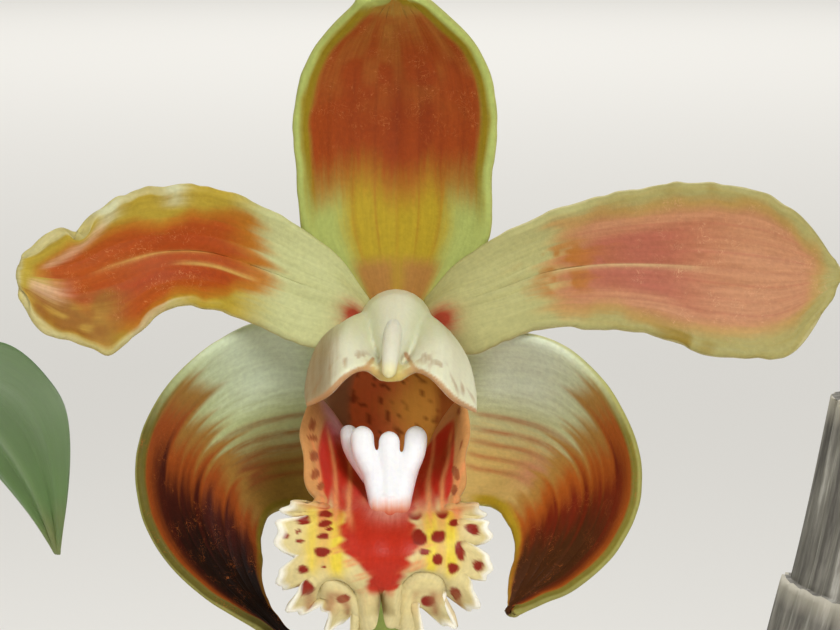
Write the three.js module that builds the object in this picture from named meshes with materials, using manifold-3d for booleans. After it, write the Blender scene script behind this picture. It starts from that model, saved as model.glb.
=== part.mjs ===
// A potted Chysis aurea orchid in flower: clay pot, bark, four canes of different ages, pleated
// leaves and one raceme. Millimetres, +Z up. The origin is the centre of the pot's base, and the
// lowest and largest bloom faces -Y.
import * as THREE from "three";
import { mergeVertices } from "three/addons/utils/BufferGeometryUtils.js";
import Module from "manifold-3d";

const wasm = await Module();
wasm.setup();

const seat = 0.3; // clearance between two pieces that touch
const degree = Math.PI / 180;

const pot = {
  height: 105,
  baseRadius: 43,
  neckRadius: 55,
  rimRadius: 61,
  rimHeight: 19,
  wall: 5.5,
  floor: 7,
  sides: 32,
  drainHoles: 3,
  drainRadius: 4.5,
  drainReach: 22,
};
const bark = { top: 90, chips: 26, chipLength: 16, chipWidth: 10, chipHeight: 7, spread: 49, clearing: 7 };

const colours = {
  clay: 0xb0613a,
  bark: 0x5a3a24,
  root: 0xb9b29a,
  oldCane: 0x9a9684,
  cane: 0x7f8a45,
  shoot: 0x7d9a3e,
  leaf: 0x3f6f2a,
  youngLeaf: 0x5e9433,
  scape: 0x8a9a48,
  ovary: 0xb9bd78,
  sepal: 0xb5602a,
  petal: 0xc07a45,
  column: 0xdcd9b4,
  anther: 0xe8e6d0,
  lip: 0xc8552f,
  callus: 0xf2f2ee,
};

// Solids

function solidOf(geometry) {
  const bare = new THREE.BufferGeometry();
  bare.setAttribute("position", geometry.getAttribute("position"));
  bare.setIndex(geometry.getIndex());
  const merged = mergeVertices(bare, 1e-4);
  return new wasm.Manifold(
    new wasm.Mesh({
      numProp: 3,
      vertProperties: merged.getAttribute("position").array,
      triVerts: new Uint32Array(merged.getIndex().array),
    }),
  );
}

function geometryOf(solid) {
  const mesh = solid.getMesh();
  const geometry = new THREE.BufferGeometry();
  geometry.setAttribute("position", new THREE.BufferAttribute(mesh.vertProperties, mesh.numProp));
  geometry.setIndex(new THREE.BufferAttribute(mesh.triVerts, 1));
  geometry.computeVertexNormals();
  return geometry;
}

const joined = (solids) => solids.reduce((whole, piece) => whole.add(piece));

// What is left of a solid once its neighbours are cut away: the largest body, without scraps.
function clearOf(solid, neighbours) {
  const cut = neighbours.reduce((rest, neighbour) => rest.subtract(neighbour), solid);
  return cut.decompose().reduce((best, body) => (body.volume() > best.volume() ? body : best));
}

function piece(name, solid, colour, roughness = 0.5) {
  const material = new THREE.MeshStandardMaterial({ color: colour, roughness, metalness: 0 });
  const mesh = new THREE.Mesh(geometryOf(solid), material);
  mesh.name = name;
  return mesh;
}

// A repeatable random draw from 0 to 1.
function drawer(seed) {
  let state = seed;
  return () => {
    state = (state * 1664525 + 1013904223) % 4294967296;
    return state / 4294967296;
  };
}

const points = (list) => list.map((p) => new THREE.Vector3(...p));
const through = (list) => new THREE.CatmullRomCurve3(points(list), false, "catmullrom", 0.5);
const evenly = (count) => Array.from({ length: count + 1 }, (_, i) => i / count);

// A closed sheet over a surface at(u, v), u from 0 to 1 along it and v from -1 to 1 across it,
// with a row of points at each station along it. lift(u, v) raises it along its normal. Both
// faces are split into triangles alike.
function sheet({ at, lift = () => 0, stations, columns, thickness, grow = 0 }) {
  const step = 1e-3;
  const positions = [];
  const half = thickness / 2 + grow;
  const frameAt = (u, v) => {
    const along = at(Math.min(u + step, 1), v).sub(at(Math.max(u - step, 0), v)).normalize();
    const across = at(u, v + step).sub(at(u, v - step)).normalize();
    return { along, across, normal: along.clone().cross(across).normalize() };
  };
  const front = [];
  const back = [];
  const rows = stations.length - 1;
  for (let i = 0; i <= rows; i += 1) {
    for (let j = 0; j <= columns; j += 1) {
      const u = stations[i];
      const v = (2 * j) / columns - 1;
      const { along, across, normal } = frameAt(u, v);
      const middle = at(u, v).addScaledVector(normal, lift(u, v));
      const end = (i === rows) - (i === 0);
      const side = (j === columns) - (j === 0);
      middle.addScaledVector(along, end * grow).addScaledVector(across, side * grow);
      front.push(middle.clone().addScaledVector(normal, half));
      back.push(middle.clone().addScaledVector(normal, -half));
    }
  }
  [...front, ...back].forEach((p) => positions.push(p.x, p.y, p.z));
  const index = [];
  const place = (i, j) => i * (columns + 1) + j;
  const other = front.length;
  for (let i = 0; i < rows; i += 1) {
    for (let j = 0; j < columns; j += 1) {
      const [a, b, c, d] = [place(i, j), place(i + 1, j), place(i + 1, j + 1), place(i, j + 1)];
      index.push(a, b, c, a, c, d);
      index.push(other + a, other + c, other + b, other + a, other + d, other + c);
    }
  }
  const wall = (a, b) => index.push(a, other + a, other + b, a, other + b, b);
  for (let i = 0; i < rows; i += 1) {
    wall(place(i, 0), place(i + 1, 0));
    wall(place(i + 1, columns), place(i, columns));
  }
  for (let j = 0; j < columns; j += 1) {
    wall(place(0, j + 1), place(0, j));
    wall(place(rows, j), place(rows, j + 1));
  }
  const geometry = new THREE.BufferGeometry();
  geometry.setAttribute("position", new THREE.BufferAttribute(new Float32Array(positions), 3));
  geometry.setIndex(index);
  return geometry;
}

// The surface across three rails: both edges and the midline of a tepal, each a curve.
function railed(rails) {
  const [left, middle, right] = [rails.left, rails.middle, rails.right].map(through);
  return (u, v) => {
    const l = left.getPoint(u);
    const m = middle.getPoint(u);
    const r = right.getPoint(u);
    const slope = r.clone().sub(l).multiplyScalar(v / 2);
    const bow = l.add(r).multiplyScalar(0.5).sub(m).multiplyScalar(v * v);
    return m.add(slope).add(bow);
  };
}

// A round rod along a curve, radiusAt(u) thick, with a ring at each listed share of its length.
function rod({ path, radiusAt, stations, sides, reference, grow = 0 }) {
  const curve = through(path);
  const positions = [];
  const index = [];
  const ends = [stations[0], stations[stations.length - 1]];
  stations.forEach((u) => {
    const centre = curve.getPoint(u);
    const tangent = curve.getTangent(u);
    if (u === ends[0]) centre.addScaledVector(tangent, -grow);
    if (u === ends[1]) centre.addScaledVector(tangent, grow);
    const across = new THREE.Vector3(...reference).cross(tangent).normalize();
    const up = tangent.clone().cross(across);
    for (let k = 0; k < sides; k += 1) {
      const angle = (2 * Math.PI * k) / sides;
      const p = centre
        .clone()
        .addScaledVector(across, Math.cos(angle) * (radiusAt(u) + grow))
        .addScaledVector(up, Math.sin(angle) * (radiusAt(u) + grow));
      positions.push(p.x, p.y, p.z);
    }
  });
  for (let i = 0; i < stations.length - 1; i += 1) {
    for (let k = 0; k < sides; k += 1) {
      const next = (k + 1) % sides;
      const [a, b] = [i * sides + k, i * sides + next];
      index.push(a, b, b + sides, a, b + sides, a + sides);
    }
  }
  const last = (stations.length - 1) * sides;
  for (let k = 1; k < sides - 1; k += 1) {
    index.push(0, k + 1, k);
    index.push(last, last + k, last + k + 1);
  }
  const geometry = new THREE.BufferGeometry();
  geometry.setAttribute("position", new THREE.BufferAttribute(new Float32Array(positions), 3));
  geometry.setIndex(index);
  return geometry;
}


// Pot and bark

function potSolid() {
  const { height, baseRadius, neckRadius, rimRadius, rimHeight, wall, floor } = pot;
  const neckHeight = height - rimHeight;
  const profile = [
    [0, 0],
    [baseRadius, 0],
    [neckRadius, neckHeight],
    [rimRadius - 1.5, neckHeight + 1.5],
    [rimRadius, height - 2],
    [rimRadius - 1.5, height],
    [rimRadius - wall - 1, height],
    [rimRadius - wall - 2, height - 2],
    [baseRadius - wall + 1, floor],
    [0, floor],
  ];
  const outline = profile.map(([r, z]) => new THREE.Vector2(r, z));
  const shell = solidOf(new THREE.LatheGeometry(outline, pot.sides).rotateX(Math.PI / 2));
  const holes = Array.from({ length: pot.drainHoles }, (_, i) => {
    const angle = (2 * Math.PI * i) / pot.drainHoles;
    const hole = new THREE.CylinderGeometry(pot.drainRadius, pot.drainRadius, 3 * floor, 12);
    hole.rotateX(Math.PI / 2);
    return solidOf(hole.translate(pot.drainReach * Math.cos(angle), pot.drainReach * Math.sin(angle), 0));
  });
  return holes.reduce((whole, hole) => whole.subtract(hole), shell);
}

// The pot's inner radius at a height.
function innerRadius(z) {
  const low = pot.baseRadius - pot.wall + 1;
  const high = pot.rimRadius - pot.wall - 2;
  return low + ((high - low) * (z - pot.floor)) / (pot.height - 2 - pot.floor);
}

function barkBed() {
  const low = pot.floor + seat;
  const gap = seat / Math.cos(Math.PI / pot.sides) + 0.6;
  const outline = [
    [0, low],
    [innerRadius(low) - gap, low],
    [innerRadius(bark.top - 3) - gap, bark.top - 3],
    [innerRadius(bark.top - 3) - gap - 4, bark.top],
    [0, bark.top + 2],
  ];
  const profile = outline.map(([r, z]) => new THREE.Vector2(r, z));
  return solidOf(new THREE.LatheGeometry(profile, pot.sides).rotateX(Math.PI / 2));
}

// One flat chip of bark with uneven corners.
function chip(draw) {
  const block = new THREE.BoxGeometry(
    bark.chipLength * (0.7 + 0.6 * draw()),
    bark.chipWidth * (0.7 + 0.6 * draw()),
    bark.chipHeight * (0.8 + 0.5 * draw()),
  );
  const corners = mergeVertices(
    new THREE.BufferGeometry()
      .setAttribute("position", block.getAttribute("position"))
      .setIndex(block.getIndex()),
  );
  const place = corners.getAttribute("position");
  for (let i = 0; i < place.count; i += 1) {
    place.setXYZ(
      i,
      place.getX(i) * (0.75 + 0.35 * draw()),
      place.getY(i) * (0.7 + 0.45 * draw()),
      place.getZ(i),
    );
  }
  return corners;
}

// The bark bed, with chips laid in a sunflower pattern over its top, but none under the rhizome.
function barkSolid() {
  const draw = drawer(11);
  const golden = Math.PI * (3 - Math.sqrt(5));
  const trunk = through(rhizomePath).getPoints(20);
  const chips = [];
  for (let i = 0; i < bark.chips; i += 1) {
    const reach = (bark.spread - bark.chipLength / 2 - 1) * Math.sqrt((i + 0.5) / bark.chips);
    const angle = i * golden;
    const turn = new THREE.Euler((draw() - 0.5) * 0.5, (draw() - 0.5) * 0.5, draw() * Math.PI);
    const height = bark.top + 1 + draw() * 1.5;
    const shift = new THREE.Vector3(reach * Math.cos(angle), reach * Math.sin(angle), height);
    const pose = new THREE.Matrix4().makeRotationFromEuler(turn).setPosition(shift);
    const block = chip(draw).applyMatrix4(pose);
    if (trunk.every((spot) => spot.distanceTo(shift) > bark.clearing)) chips.push(solidOf(block));
  }
  return joined([barkBed(), ...chips]);
}

// Canes: jointed stems that are thin at the foot, swell above the middle and carry a sheath
// at each joint, whose upper edge stands a little away.

const canes = [
  {
    name: "old_cane_bare",
    path: [[26, 5, 92], [56, 10, 118], [87, 14, 152], [102.5, 17, 192], [110.5, 19, 240]],
    foot: 4.5,
    belly: 11.5,
    joints: 8,
    flare: 0.1,
    colour: colours.oldCane,
  },
  {
    name: "old_cane_back",
    path: [[12, 26, 92], [22, 52, 116], [32, 86, 128], [40, 118, 122], [45, 142, 108]],
    foot: 4.5,
    belly: 11,
    joints: 7,
    flare: 0.1,
    colour: colours.oldCane,
  },
  {
    name: "leafy_cane",
    path: [[-8, 24, 92], [-22, 42, 122], [-42, 62, 158], [-58, 76, 190], [-68, 84, 216]],
    foot: 4.5,
    belly: 11,
    joints: 8,
    flare: 0.07,
    colour: colours.cane,
  },
  {
    name: "new_shoot",
    path: [[-17, -14, 92], [-23, -17, 114], [-32, -21, 138], [-42, -25, 160], [-50, -27, 180]],
    foot: 5.5,
    belly: 8,
    joints: 6,
    flare: 0.12,
    colour: colours.shoot,
  },
];

function caneRadius({ foot, belly, joints, flare }) {
  return (u) => {
    const swell = Math.sin(Math.PI * (0.03 + 0.87 * u ** 1.4)) ** 0.8;
    const inJoint = (u * joints) % 1;
    return (foot + (belly - foot) * swell) * (1 + flare * inJoint);
  };
}

// Two rings at each joint, so that the sheath's edge is a step.
function caneStations(joints) {
  const stations = [0];
  for (let k = 1; k < joints; k += 1) stations.push((k - 0.02) / joints, (k + 0.06) / joints);
  stations.push(0.955, 0.999);
  return stations;
}

function caneSolid(cane, grow = 0) {
  const { path, joints } = cane;
  return solidOf(
    rod({
      path,
      radiusAt: caneRadius(cane),
      stations: caneStations(joints),
      sides: 10,
      reference: [0, 1, 0],
      grow,
    }),
  );
}

// The creeping rhizome that joins the canes, and roots that run over the bark and into it.
const rhizomePath = [[32, 2, 91.5], [24, 14, 91.5], [6, 22, 91.5], [-10, 12, 91.5], [-18, -8, 91.5]];
const roots = [
  { from: [26, 6], heading: -48, length: 24 },
  { from: [-6, 18], heading: 150, length: 30 },
  { from: [-14, 4], heading: 196, length: 24 },
  { from: [-17, -6], heading: 262, length: 26 },
  { from: [-15, -4], heading: 312, length: 30 },
];

function rhizomeSolid(grow = 0) {
  const trunk = rod({
    path: rhizomePath,
    radiusAt: (u) => 4.6 - 0.8 * u,
    stations: evenly(10),
    sides: 7,
    reference: [0, 0, 1],
    grow,
  });
  const strands = roots.map(({ from: [x, y], heading, length }, i) => {
    const path = evenly(4).map((t) => {
      const turn = (heading + 26 * Math.sin(t * 3 + i)) * degree;
      const reach = length * t;
      const height = 94.5 + 2 * Math.sin(t * 5 + i) - 9 * t * t;
      return [x + reach * Math.cos(turn), y + reach * Math.sin(turn), height];
    });
    return rod({
      path,
      radiusAt: (u) => 1.8 - 0.7 * u,
      stations: evenly(6),
      sides: 5,
      reference: [0, 0, 1],
      grow,
    });
  });
  return joined([trunk, ...strands].map(solidOf));
}

// Leaves: pleated blades on an arching midrib.

const leaves = [
  { cane: 3, at: 0.55, heading: 206, rise: 34, droop: -48, length: 150, width: 34, young: true },
  { cane: 3, at: 0.68, heading: 92, rise: 62, droop: -12, length: 140, width: 30, young: true },
  { cane: 3, at: 0.8, heading: 232, rise: 58, droop: -28, length: 138, width: 30, young: true },
  { cane: 3, at: 0.9, heading: 128, rise: 72, droop: 14, length: 118, width: 25, young: true },
  { cane: 3, at: 0.97, heading: 330, rise: 84, droop: 56, length: 92, width: 18, young: true },
  { cane: 2, at: 0.52, heading: 172, rise: 22, droop: -58, length: 170, width: 40 },
  { cane: 2, at: 0.66, heading: 76, rise: 30, droop: -60, length: 150, width: 38 },
  { cane: 2, at: 0.8, heading: 150, rise: 50, droop: -34, length: 172, width: 40 },
  { cane: 2, at: 0.93, heading: 34, rise: 74, droop: -14, length: 165, width: 36 },
  { cane: 1, at: 0.88, heading: 22, rise: 6, droop: -50, length: 140, width: 34 },
];
const leafShapeSteps = 60;
const pleatDepth = 1.1;

// The leaf's midrib: it leaves the cane at the angle rise and bends over to the angle droop.
function midribOf({ heading, rise, droop, length }, base) {
  const ahead = new THREE.Vector3(Math.cos(heading * degree), Math.sin(heading * degree), 0);
  const up = new THREE.Vector3(0, 0, 1);
  const stations = [{ place: base.clone(), tilt: rise * degree }];
  for (let k = 0; k < leafShapeSteps; k += 1) {
    const share = (k + 0.5) / leafShapeSteps;
    const tilt = (rise + (droop - rise) * share ** 1.25) * degree;
    const stride = length / leafShapeSteps;
    const place = stations[k].place
      .clone()
      .addScaledVector(ahead, Math.cos(tilt) * stride)
      .addScaledVector(up, Math.sin(tilt) * stride);
    stations.push({ place, tilt });
  }
  return { stations, ahead, up };
}

function leafShape(leaf, base) {
  const { stations, ahead, up } = midribOf(leaf, base);
  const side = up.clone().cross(ahead);
  const halfWidth = (u) => {
    const share = (0.05 + 0.95 * u) ** 0.85;
    return Math.max(0.5, (leaf.width / 2) * Math.sin(Math.PI * share) ** 0.95);
  };
  const at = (u, v) => {
    const spot = Math.min(Math.max(u, 0), 1) * leafShapeSteps;
    const k = Math.min(Math.floor(spot), leafShapeSteps - 1);
    const place = stations[k].place.clone().lerp(stations[k + 1].place, spot - k);
    const tilt = THREE.MathUtils.lerp(stations[k].tilt, stations[k + 1].tilt, spot - k);
    const over = up.clone().multiplyScalar(Math.cos(tilt)).addScaledVector(ahead, -Math.sin(tilt));
    const width = halfWidth(u);
    const keel = (0.75 * (1 - u) ** 2 + 0.16) * Math.abs(v) * width;
    return place.addScaledVector(side, v * width * (1 - 0.25 * (1 - u) ** 2)).addScaledVector(over, keel);
  };
  const fold = (v) => 1 - 4 * Math.abs(((Math.abs(v) * 1.5) % 1) - 0.5);
  const lift = (u, v) => {
    const pleat = pleatDepth * Math.sin(Math.PI * Math.min(1, 0.1 + 0.9 * u)) ** 0.6 * fold(v);
    const wave = 1.6 * Math.sin(u * 17 + (v > 0 ? 1.9 : 0) + leaf.heading) * v ** 4 * Math.sin(Math.PI * u);
    return pleat + wave;
  };
  return { at, lift };
}

function leafSolid(leaf, grow = 0) {
  const cane = canes[leaf.cane];
  const curve = through(cane.path);
  const ahead = new THREE.Vector3(Math.cos(leaf.heading * degree), Math.sin(leaf.heading * degree), 0);
  const reach = caneRadius(cane)(leaf.at) * 0.5;
  const base = curve.getPoint(leaf.at).addScaledVector(ahead, reach);
  return solidOf(sheet({ ...leafShape(leaf, base), stations: evenly(7), columns: 6, thickness: 0.9, grow }));
}

// The raceme's stem: it leaves the new shoot's foot, bends up and runs behind the lowest bloom.
const scapePath = [
  [-17, -16, 99],
  [4, -31, 118],
  [30, -44, 160],
  [43, -50, 200],
  [45, -50, 236],
  [44, -48, 272],
  [41, -46, 304],
  [37, -46, 332],
  [32, -48, 357],
  [26, -52, 378],
  [20, -57, 396],
];
const scapeRadius = (u) => 3 - 1.5 * u;

function scapeRod(grow = 0) {
  return rod({
    path: scapePath,
    radiusAt: scapeRadius,
    stations: evenly(17),
    sides: 6,
    reference: [0, 1, 0],
    grow,
  });
}

// Blooms. In a bloom's own frame it faces -Y, +Z is up and the origin is the foot of its column.
// Each tepal is given by its two edges and its midline, from its foot to its tip.

const dorsalSepal = {
  left: [[-3.4, 3.2, 0.7], [-6.5, 1.5, 4.3], [-8.1, 0.5, 7.4], [-8.5, -0.5, 12.2], [-8.7, -1.5, 17.5],
    [-7.4, -3, 22.3], [-3.9, -5.5, 26], [-0.6, -7, 27.2]],
  middle: [[0, 3.7, 0.9], [0, 3.5, 5.5], [0, 3.2, 8.9], [0, 2.8, 13.2], [0.1, 1.8, 17.9],
    [0.1, -0.5, 22], [0, -4.5, 25.5], [0, -7, 27.3]],
  right: [[3.3, 3.2, 0.7], [6.4, 1.5, 4.3], [8, 0.5, 7.4], [8.1, -0.5, 12.2], [8.4, -1.5, 17.5],
    [7.5, -3, 22.3], [3.9, -5.5, 26], [0.6, -7, 27.2]],
};
const petalLeft = {
  left: [[-2.6, 3.4, 1.4], [-4.9, 1.6, 5.1], [-8.5, -0.5, 7.9], [-12.5, -2, 10], [-16.2, -3.5, 11],
    [-19.9, -5, 11], [-23.3, -6, 9.7], [-27.2, -6.8, 7.3], [-31.1, -7.5, 5]],
  middle: [[-2.5, 3.7, 0], [-5.3, 2.8, 1.4], [-8.5, 1.5, 2.9], [-12.6, 0, 4.5], [-16.3, -1.5, 5.6],
    [-20, -3, 5.6], [-23.5, -4.2, 4.7], [-27.4, -5.5, 3.4], [-31.4, -7.2, 3.6]],
  right: [[-3, 3.5, -1.5], [-5.9, 0.8, -2.7], [-9, -0.5, -2], [-12.4, -2.5, -0.3], [-16.2, -4, 1],
    [-19.7, -5.2, 0.6], [-23.3, -5.5, -2.5], [-28.1, -6.2, -1.6], [-31.3, -7.2, 2.3]],
};
const petalRight = {
  left: [[2.6, 3.4, 1.4], [4.8, 1.8, 4.4], [8.1, 0, 6.7], [12.6, -0.6, 8.8], [17.3, -1, 10.3],
    [22.4, -1, 11.3], [27.6, -1, 11.4], [32.7, -0.5, 9.8], [37.6, 0.3, 4.8]],
  middle: [[2.5, 3.7, 0], [5.3, 2.8, 1], [8.6, 2, 2.4], [12.7, 1.5, 3.9], [17.4, 1, 4.6],
    [22.6, 0.8, 4.6], [27.7, 0.8, 4.3], [32.9, 0.8, 3.8], [37.9, 0.5, 3.7]],
  right: [[3, 3.5, -1.5], [6.3, 0.8, -3.1], [9.2, 0, -2], [12.6, -0.5, -0.9], [17.3, -1, -0.7],
    [21.6, -1.2, -1.3], [25.8, -1.2, -3], [31.8, -0.8, -3], [37.6, 0.3, 2.4]],
};
const lateralSepalLeft = {
  left: [[-4.6, 5, -1.7], [-8, 2.5, -0.7], [-11.6, 1, -0.3], [-15.1, -0.5, -1.9], [-18.3, -1.5, -4.5],
    [-20.8, -2.5, -8.2], [-21.8, -3, -12], [-21.4, -3.5, -16.2], [-19.2, -3, -20.5],
    [-15.7, -2, -23.8], [-12.1, -0.5, -26], [-9.5, 1.3, -28.2]],
  middle: [[-4.2, 9, -9], [-6.9, 9, -9], [-9.5, 8.6, -9.3], [-12.1, 7.5, -9.9], [-14.4, 6, -10.9],
    [-16.2, 4.8, -12.4], [-17.1, 3.6, -14.5], [-17.1, 2.6, -17.3], [-16, 1.8, -20.4],
    [-13.9, 1.2, -23.4], [-11.4, 1, -26.1], [-9.2, 1.8, -28.6]],
  right: [[-4.3, 10, -15.7], [-6, 9.6, -16.3], [-7.8, 9, -16.7], [-9.2, 8.2, -16.8], [-10.5, 7.2, -17],
    [-11.5, 6, -17.7], [-11.9, 5, -19.4], [-11.7, 4, -21.1], [-11.7, 3, -22.7],
    [-11.2, 2.4, -24.4], [-10.1, 2.2, -26.2], [-8.6, 2.5, -27.9]],
};
const lateralSepalRight = {
  left: [[4.2, 5, -1.7], [7.3, 2.5, -1.6], [10.7, 1, -1.3], [14.1, -0.5, -2.4], [17.1, -1.5, -5],
    [19.3, -2.5, -8.6], [20.4, -3, -12.4], [20, -3.5, -16.2], [18.2, -3, -19.8],
    [15.1, -2, -22.7], [12, -0.8, -24.2], [10, 0.3, -25]],
  middle: [[3.9, 9, -9], [6.8, 9, -9], [9.3, 8.6, -9.4], [11.8, 7.5, -10], [13.9, 6, -11],
    [15.5, 4.8, -12.6], [16.2, 3.6, -14.6], [16.1, 2.6, -16.9], [15.1, 1.8, -19.3],
    [13.4, 1.2, -21.7], [11.4, 0.8, -23.7], [9.8, 0.8, -25.4]],
  right: [[3.9, 10, -15.7], [5.1, 9.6, -16.2], [6.2, 9, -16.4], [7.3, 8.2, -16.5], [8.3, 7.2, -16.7],
    [9.2, 6, -17.3], [9.9, 5, -18.5], [10.2, 4, -20], [10, 3, -21.5],
    [9.6, 2, -22.9], [9.5, 1.2, -24.2], [9.5, 1.1, -25.2]],
};
const lipRails = {
  left: [[-3.4, 6.6, -12.4], [-5.4, 4.5, -9.8], [-7.8, 0.5, -7.9], [-8.4, -4, -10.3], [-7.8, -7.2, -13.1],
    [-6.8, -9.5, -15.2], [-8.7, -10.5, -15.9], [-9.2, -11.5, -18.6], [-8.9, -11.2, -22.1],
    [-6.9, -10, -24.5], [-4.9, -8.7, -25.7], [-3.2, -8.6, -25.3]],
  middle: [[-0.5, 7.2, -14.3], [-0.5, 4, -14.4], [-0.4, 0.5, -14.7], [-0.5, -3, -15.1], [-0.5, -6.5, -15.4],
    [-0.5, -9, -16], [-0.5, -10.8, -16.9], [-0.5, -12.2, -18.1], [-0.6, -12.8, -19.5],
    [-0.7, -12.3, -20.8], [-0.9, -11.5, -21.9], [-1.1, -10.6, -22.8]],
  right: [[2.4, 6.6, -12.4], [4.3, 4.5, -9.8], [6.6, 0.5, -7.9], [6.4, -4, -10.3], [5.9, -7.2, -13.1],
    [5.4, -9.5, -15.2], [6.7, -10.5, -16.3], [7.1, -11.5, -18.6], [6.9, -11.2, -21.9],
    [5, -10, -24.1], [2.8, -8.7, -25.6], [0.9, -8.6, -25.3]],
};
const hoodRails = {
  left: [[-2.8, 3, -0.2], [-4.6, -0.5, -0.7], [-6.1, -3, -1.6], [-7.1, -5.5, -3.3], [-7.6, -7.5, -5.6],
    [-7.5, -9, -7.4]],
  middle: [[-0.1, 3, 0.2], [-0.1, -0.4, -0.6], [-0.2, -3.4, -1.8], [-0.3, -6.4, -3.1], [-0.4, -8.8, -4],
    [-0.5, -10.8, -4.8]],
  right: [[2.7, 3, -0.2], [3.7, -0.5, -0.7], [5, -3, -2], [6.1, -5.5, -3.9], [6.6, -7.5, -6],
    [6.7, -9, -7.9]],
};
const footRails = {
  left: [[-2.9, 2, -1.5], [-4.5, 4.2, -5.8], [-5, 5.5, -9.8], [-4, 8.2, -14]],
  middle: [[-0.2, 3, -1], [-0.3, 6.8, -5.4], [-0.4, 8.5, -9.9], [-0.5, 9, -14]],
  right: [[2.6, 2, -1.5], [4.2, 4.2, -5.8], [4.8, 5.5, -9.8], [3, 8.2, -14]],
};
const tepals = { dorsalSepal, petalLeft, petalRight, lateralSepalLeft, lateralSepalRight };

// The column's ridge, from its foot over to the tip that carries the anther.
const ridgePath = [[-0.1, 5, -1.2], [-0.1, 1, -0.7], [-0.1, -2, -1], [-0.3, -6, -2.1], [-0.5, -9.8, -3.6]];
const ridgeRadius = (u) => 3.2 - 1.9 * u ** 1.5;
const antherPath = [[-0.2, -7.8, -0.9], [-0.3, -10, -2.1], [-0.5, -11.6, -3.6], [-0.6, -12.3, -5]];

// The callus: blunt upright fingers that meet in a narrow foot on the lip.
const fingers = [
  { path: [[-4.1, 1.5, -9.6], [-3.6, -0.5, -11.4], [-1.9, -3, -13.6]], radius: 0.8 },
  { path: [[-2.5, -2.6, -9.9], [-2.6, -4.2, -11.6], [-1.6, -6, -13.3], [-1, -8, -15]], radius: 1.15 },
  { path: [[-0.5, -3, -10.4], [-0.5, -4.8, -11.9], [-0.5, -6.6, -13.4], [-0.5, -8.8, -15.2]], radius: 1.1 },
  { path: [[1.5, -2.6, -9.9], [1.6, -4.2, -11.6], [0.6, -6, -13.3], [0, -8, -15]], radius: 1.15 },
];
const frill = { from: 0.5, rise: 0.9, spread: 0.09 };

const tepalThickness = 1;
const lipThickness = 0.8;
const ovaryTop = [0, 4.5, -2.2];

function tepalSolid(rails, { rows, columns }, grow = 0) {
  const stations = evenly(rows);
  return solidOf(sheet({ at: railed(rails), stations, columns, thickness: tepalThickness, grow }));
}

// The lip: a trough with two upright side lobes, then a middle lobe with a crisped edge.
function lipSolid({ throatRows, rows, columns, waves }, grow = 0) {
  const throat = evenly(throatRows).map((t) => t * frill.from);
  const lobe = evenly(rows).slice(1).map((t) => frill.from + t * (1 - frill.from));
  const flat = railed(lipRails);
  const inFrill = (u) => Math.min(1, Math.max(0, (u - frill.from) / 0.08)) * Math.min(1, (1.04 - u) / 0.1);
  const phase = (u) => (2 * Math.PI * waves * (u - frill.from)) / (1 - frill.from);
  const at = (u, v) => flat(u, v * (1 + frill.spread * inFrill(u) * v * v * Math.cos(phase(u))));
  const lift = (u, v) => frill.rise * inFrill(u) * Math.abs(v) ** 3 * Math.sin(phase(u) + (v > 0 ? 0.8 : 0));
  return solidOf(sheet({ at, lift, stations: [...throat, ...lobe], columns, thickness: lipThickness, grow }));
}

function columnSolid({ rows, columns, sides }, grow = 0) {
  const hood = sheet({ at: railed(hoodRails), stations: evenly(rows), columns, thickness: 1, grow });
  const foot = sheet({
    at: railed(footRails),
    stations: evenly(2),
    columns: columns / 2,
    thickness: 1.2,
    grow,
  });
  const ridge = rod({
    path: ridgePath,
    radiusAt: ridgeRadius,
    stations: evenly(rows),
    sides,
    reference: [1, 0, 0],
    grow,
  });
  return joined([hood, foot, ridge].map(solidOf));
}

function callusSolid() {
  const rods = fingers.map(({ path, radius }) =>
    rod({
      path,
      radiusAt: (u) => radius * (1 - 0.25 * u) * Math.min(1, 0.55 + 3 * u),
      stations: [0, 0.16, 0.4, 0.7, 1],
      sides: 6,
      reference: [1, 0, 0],
    }),
  );
  return joined(rods.map(solidOf));
}

// The stalk and ovary behind a bloom, from its place on the scape to the bloom's back.
function stalkRod(start, lean, grow = 0) {
  const [x, y, z] = ovaryTop;
  const path = [
    start.toArray(),
    start.clone().add(lean).toArray(),
    [x, y + 10, z - 0.8],
    [x, y, z],
  ];
  return rod({
    path,
    radiusAt: (u) => 1.5 + 1.1 * u,
    stations: evenly(8),
    sides: 7,
    reference: [1, 0, 0],
    grow,
  });
}

const blooms = [
  { name: "bloom_1", at: 0.385, facing: 270, pitch: 8, reach: 28.7, size: 1, fine: true },
  { name: "bloom_2", at: 0.575, facing: 202, pitch: 2, reach: 28.7, size: 0.98 },
  { name: "bloom_3", at: 0.672, facing: 338, pitch: 4, reach: 28.7, size: 0.96 },
  { name: "bloom_4", at: 0.76, facing: 96, pitch: 2, reach: 27.7, size: 0.94 },
];
const buds = [
  { name: "bud_1", at: 0.83, facing: 238, length: 24, radius: 6.5, stalk: 19 },
  { name: "bud_2", at: 0.89, facing: 10, length: 20, radius: 5.4, stalk: 16 },
  { name: "bud_3", at: 0.94, facing: 140, length: 17, radius: 4.5, stalk: 13 },
  { name: "bud_4", at: 0.985, facing: 262, length: 13, radius: 3.5, stalk: 9 },
];

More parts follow.
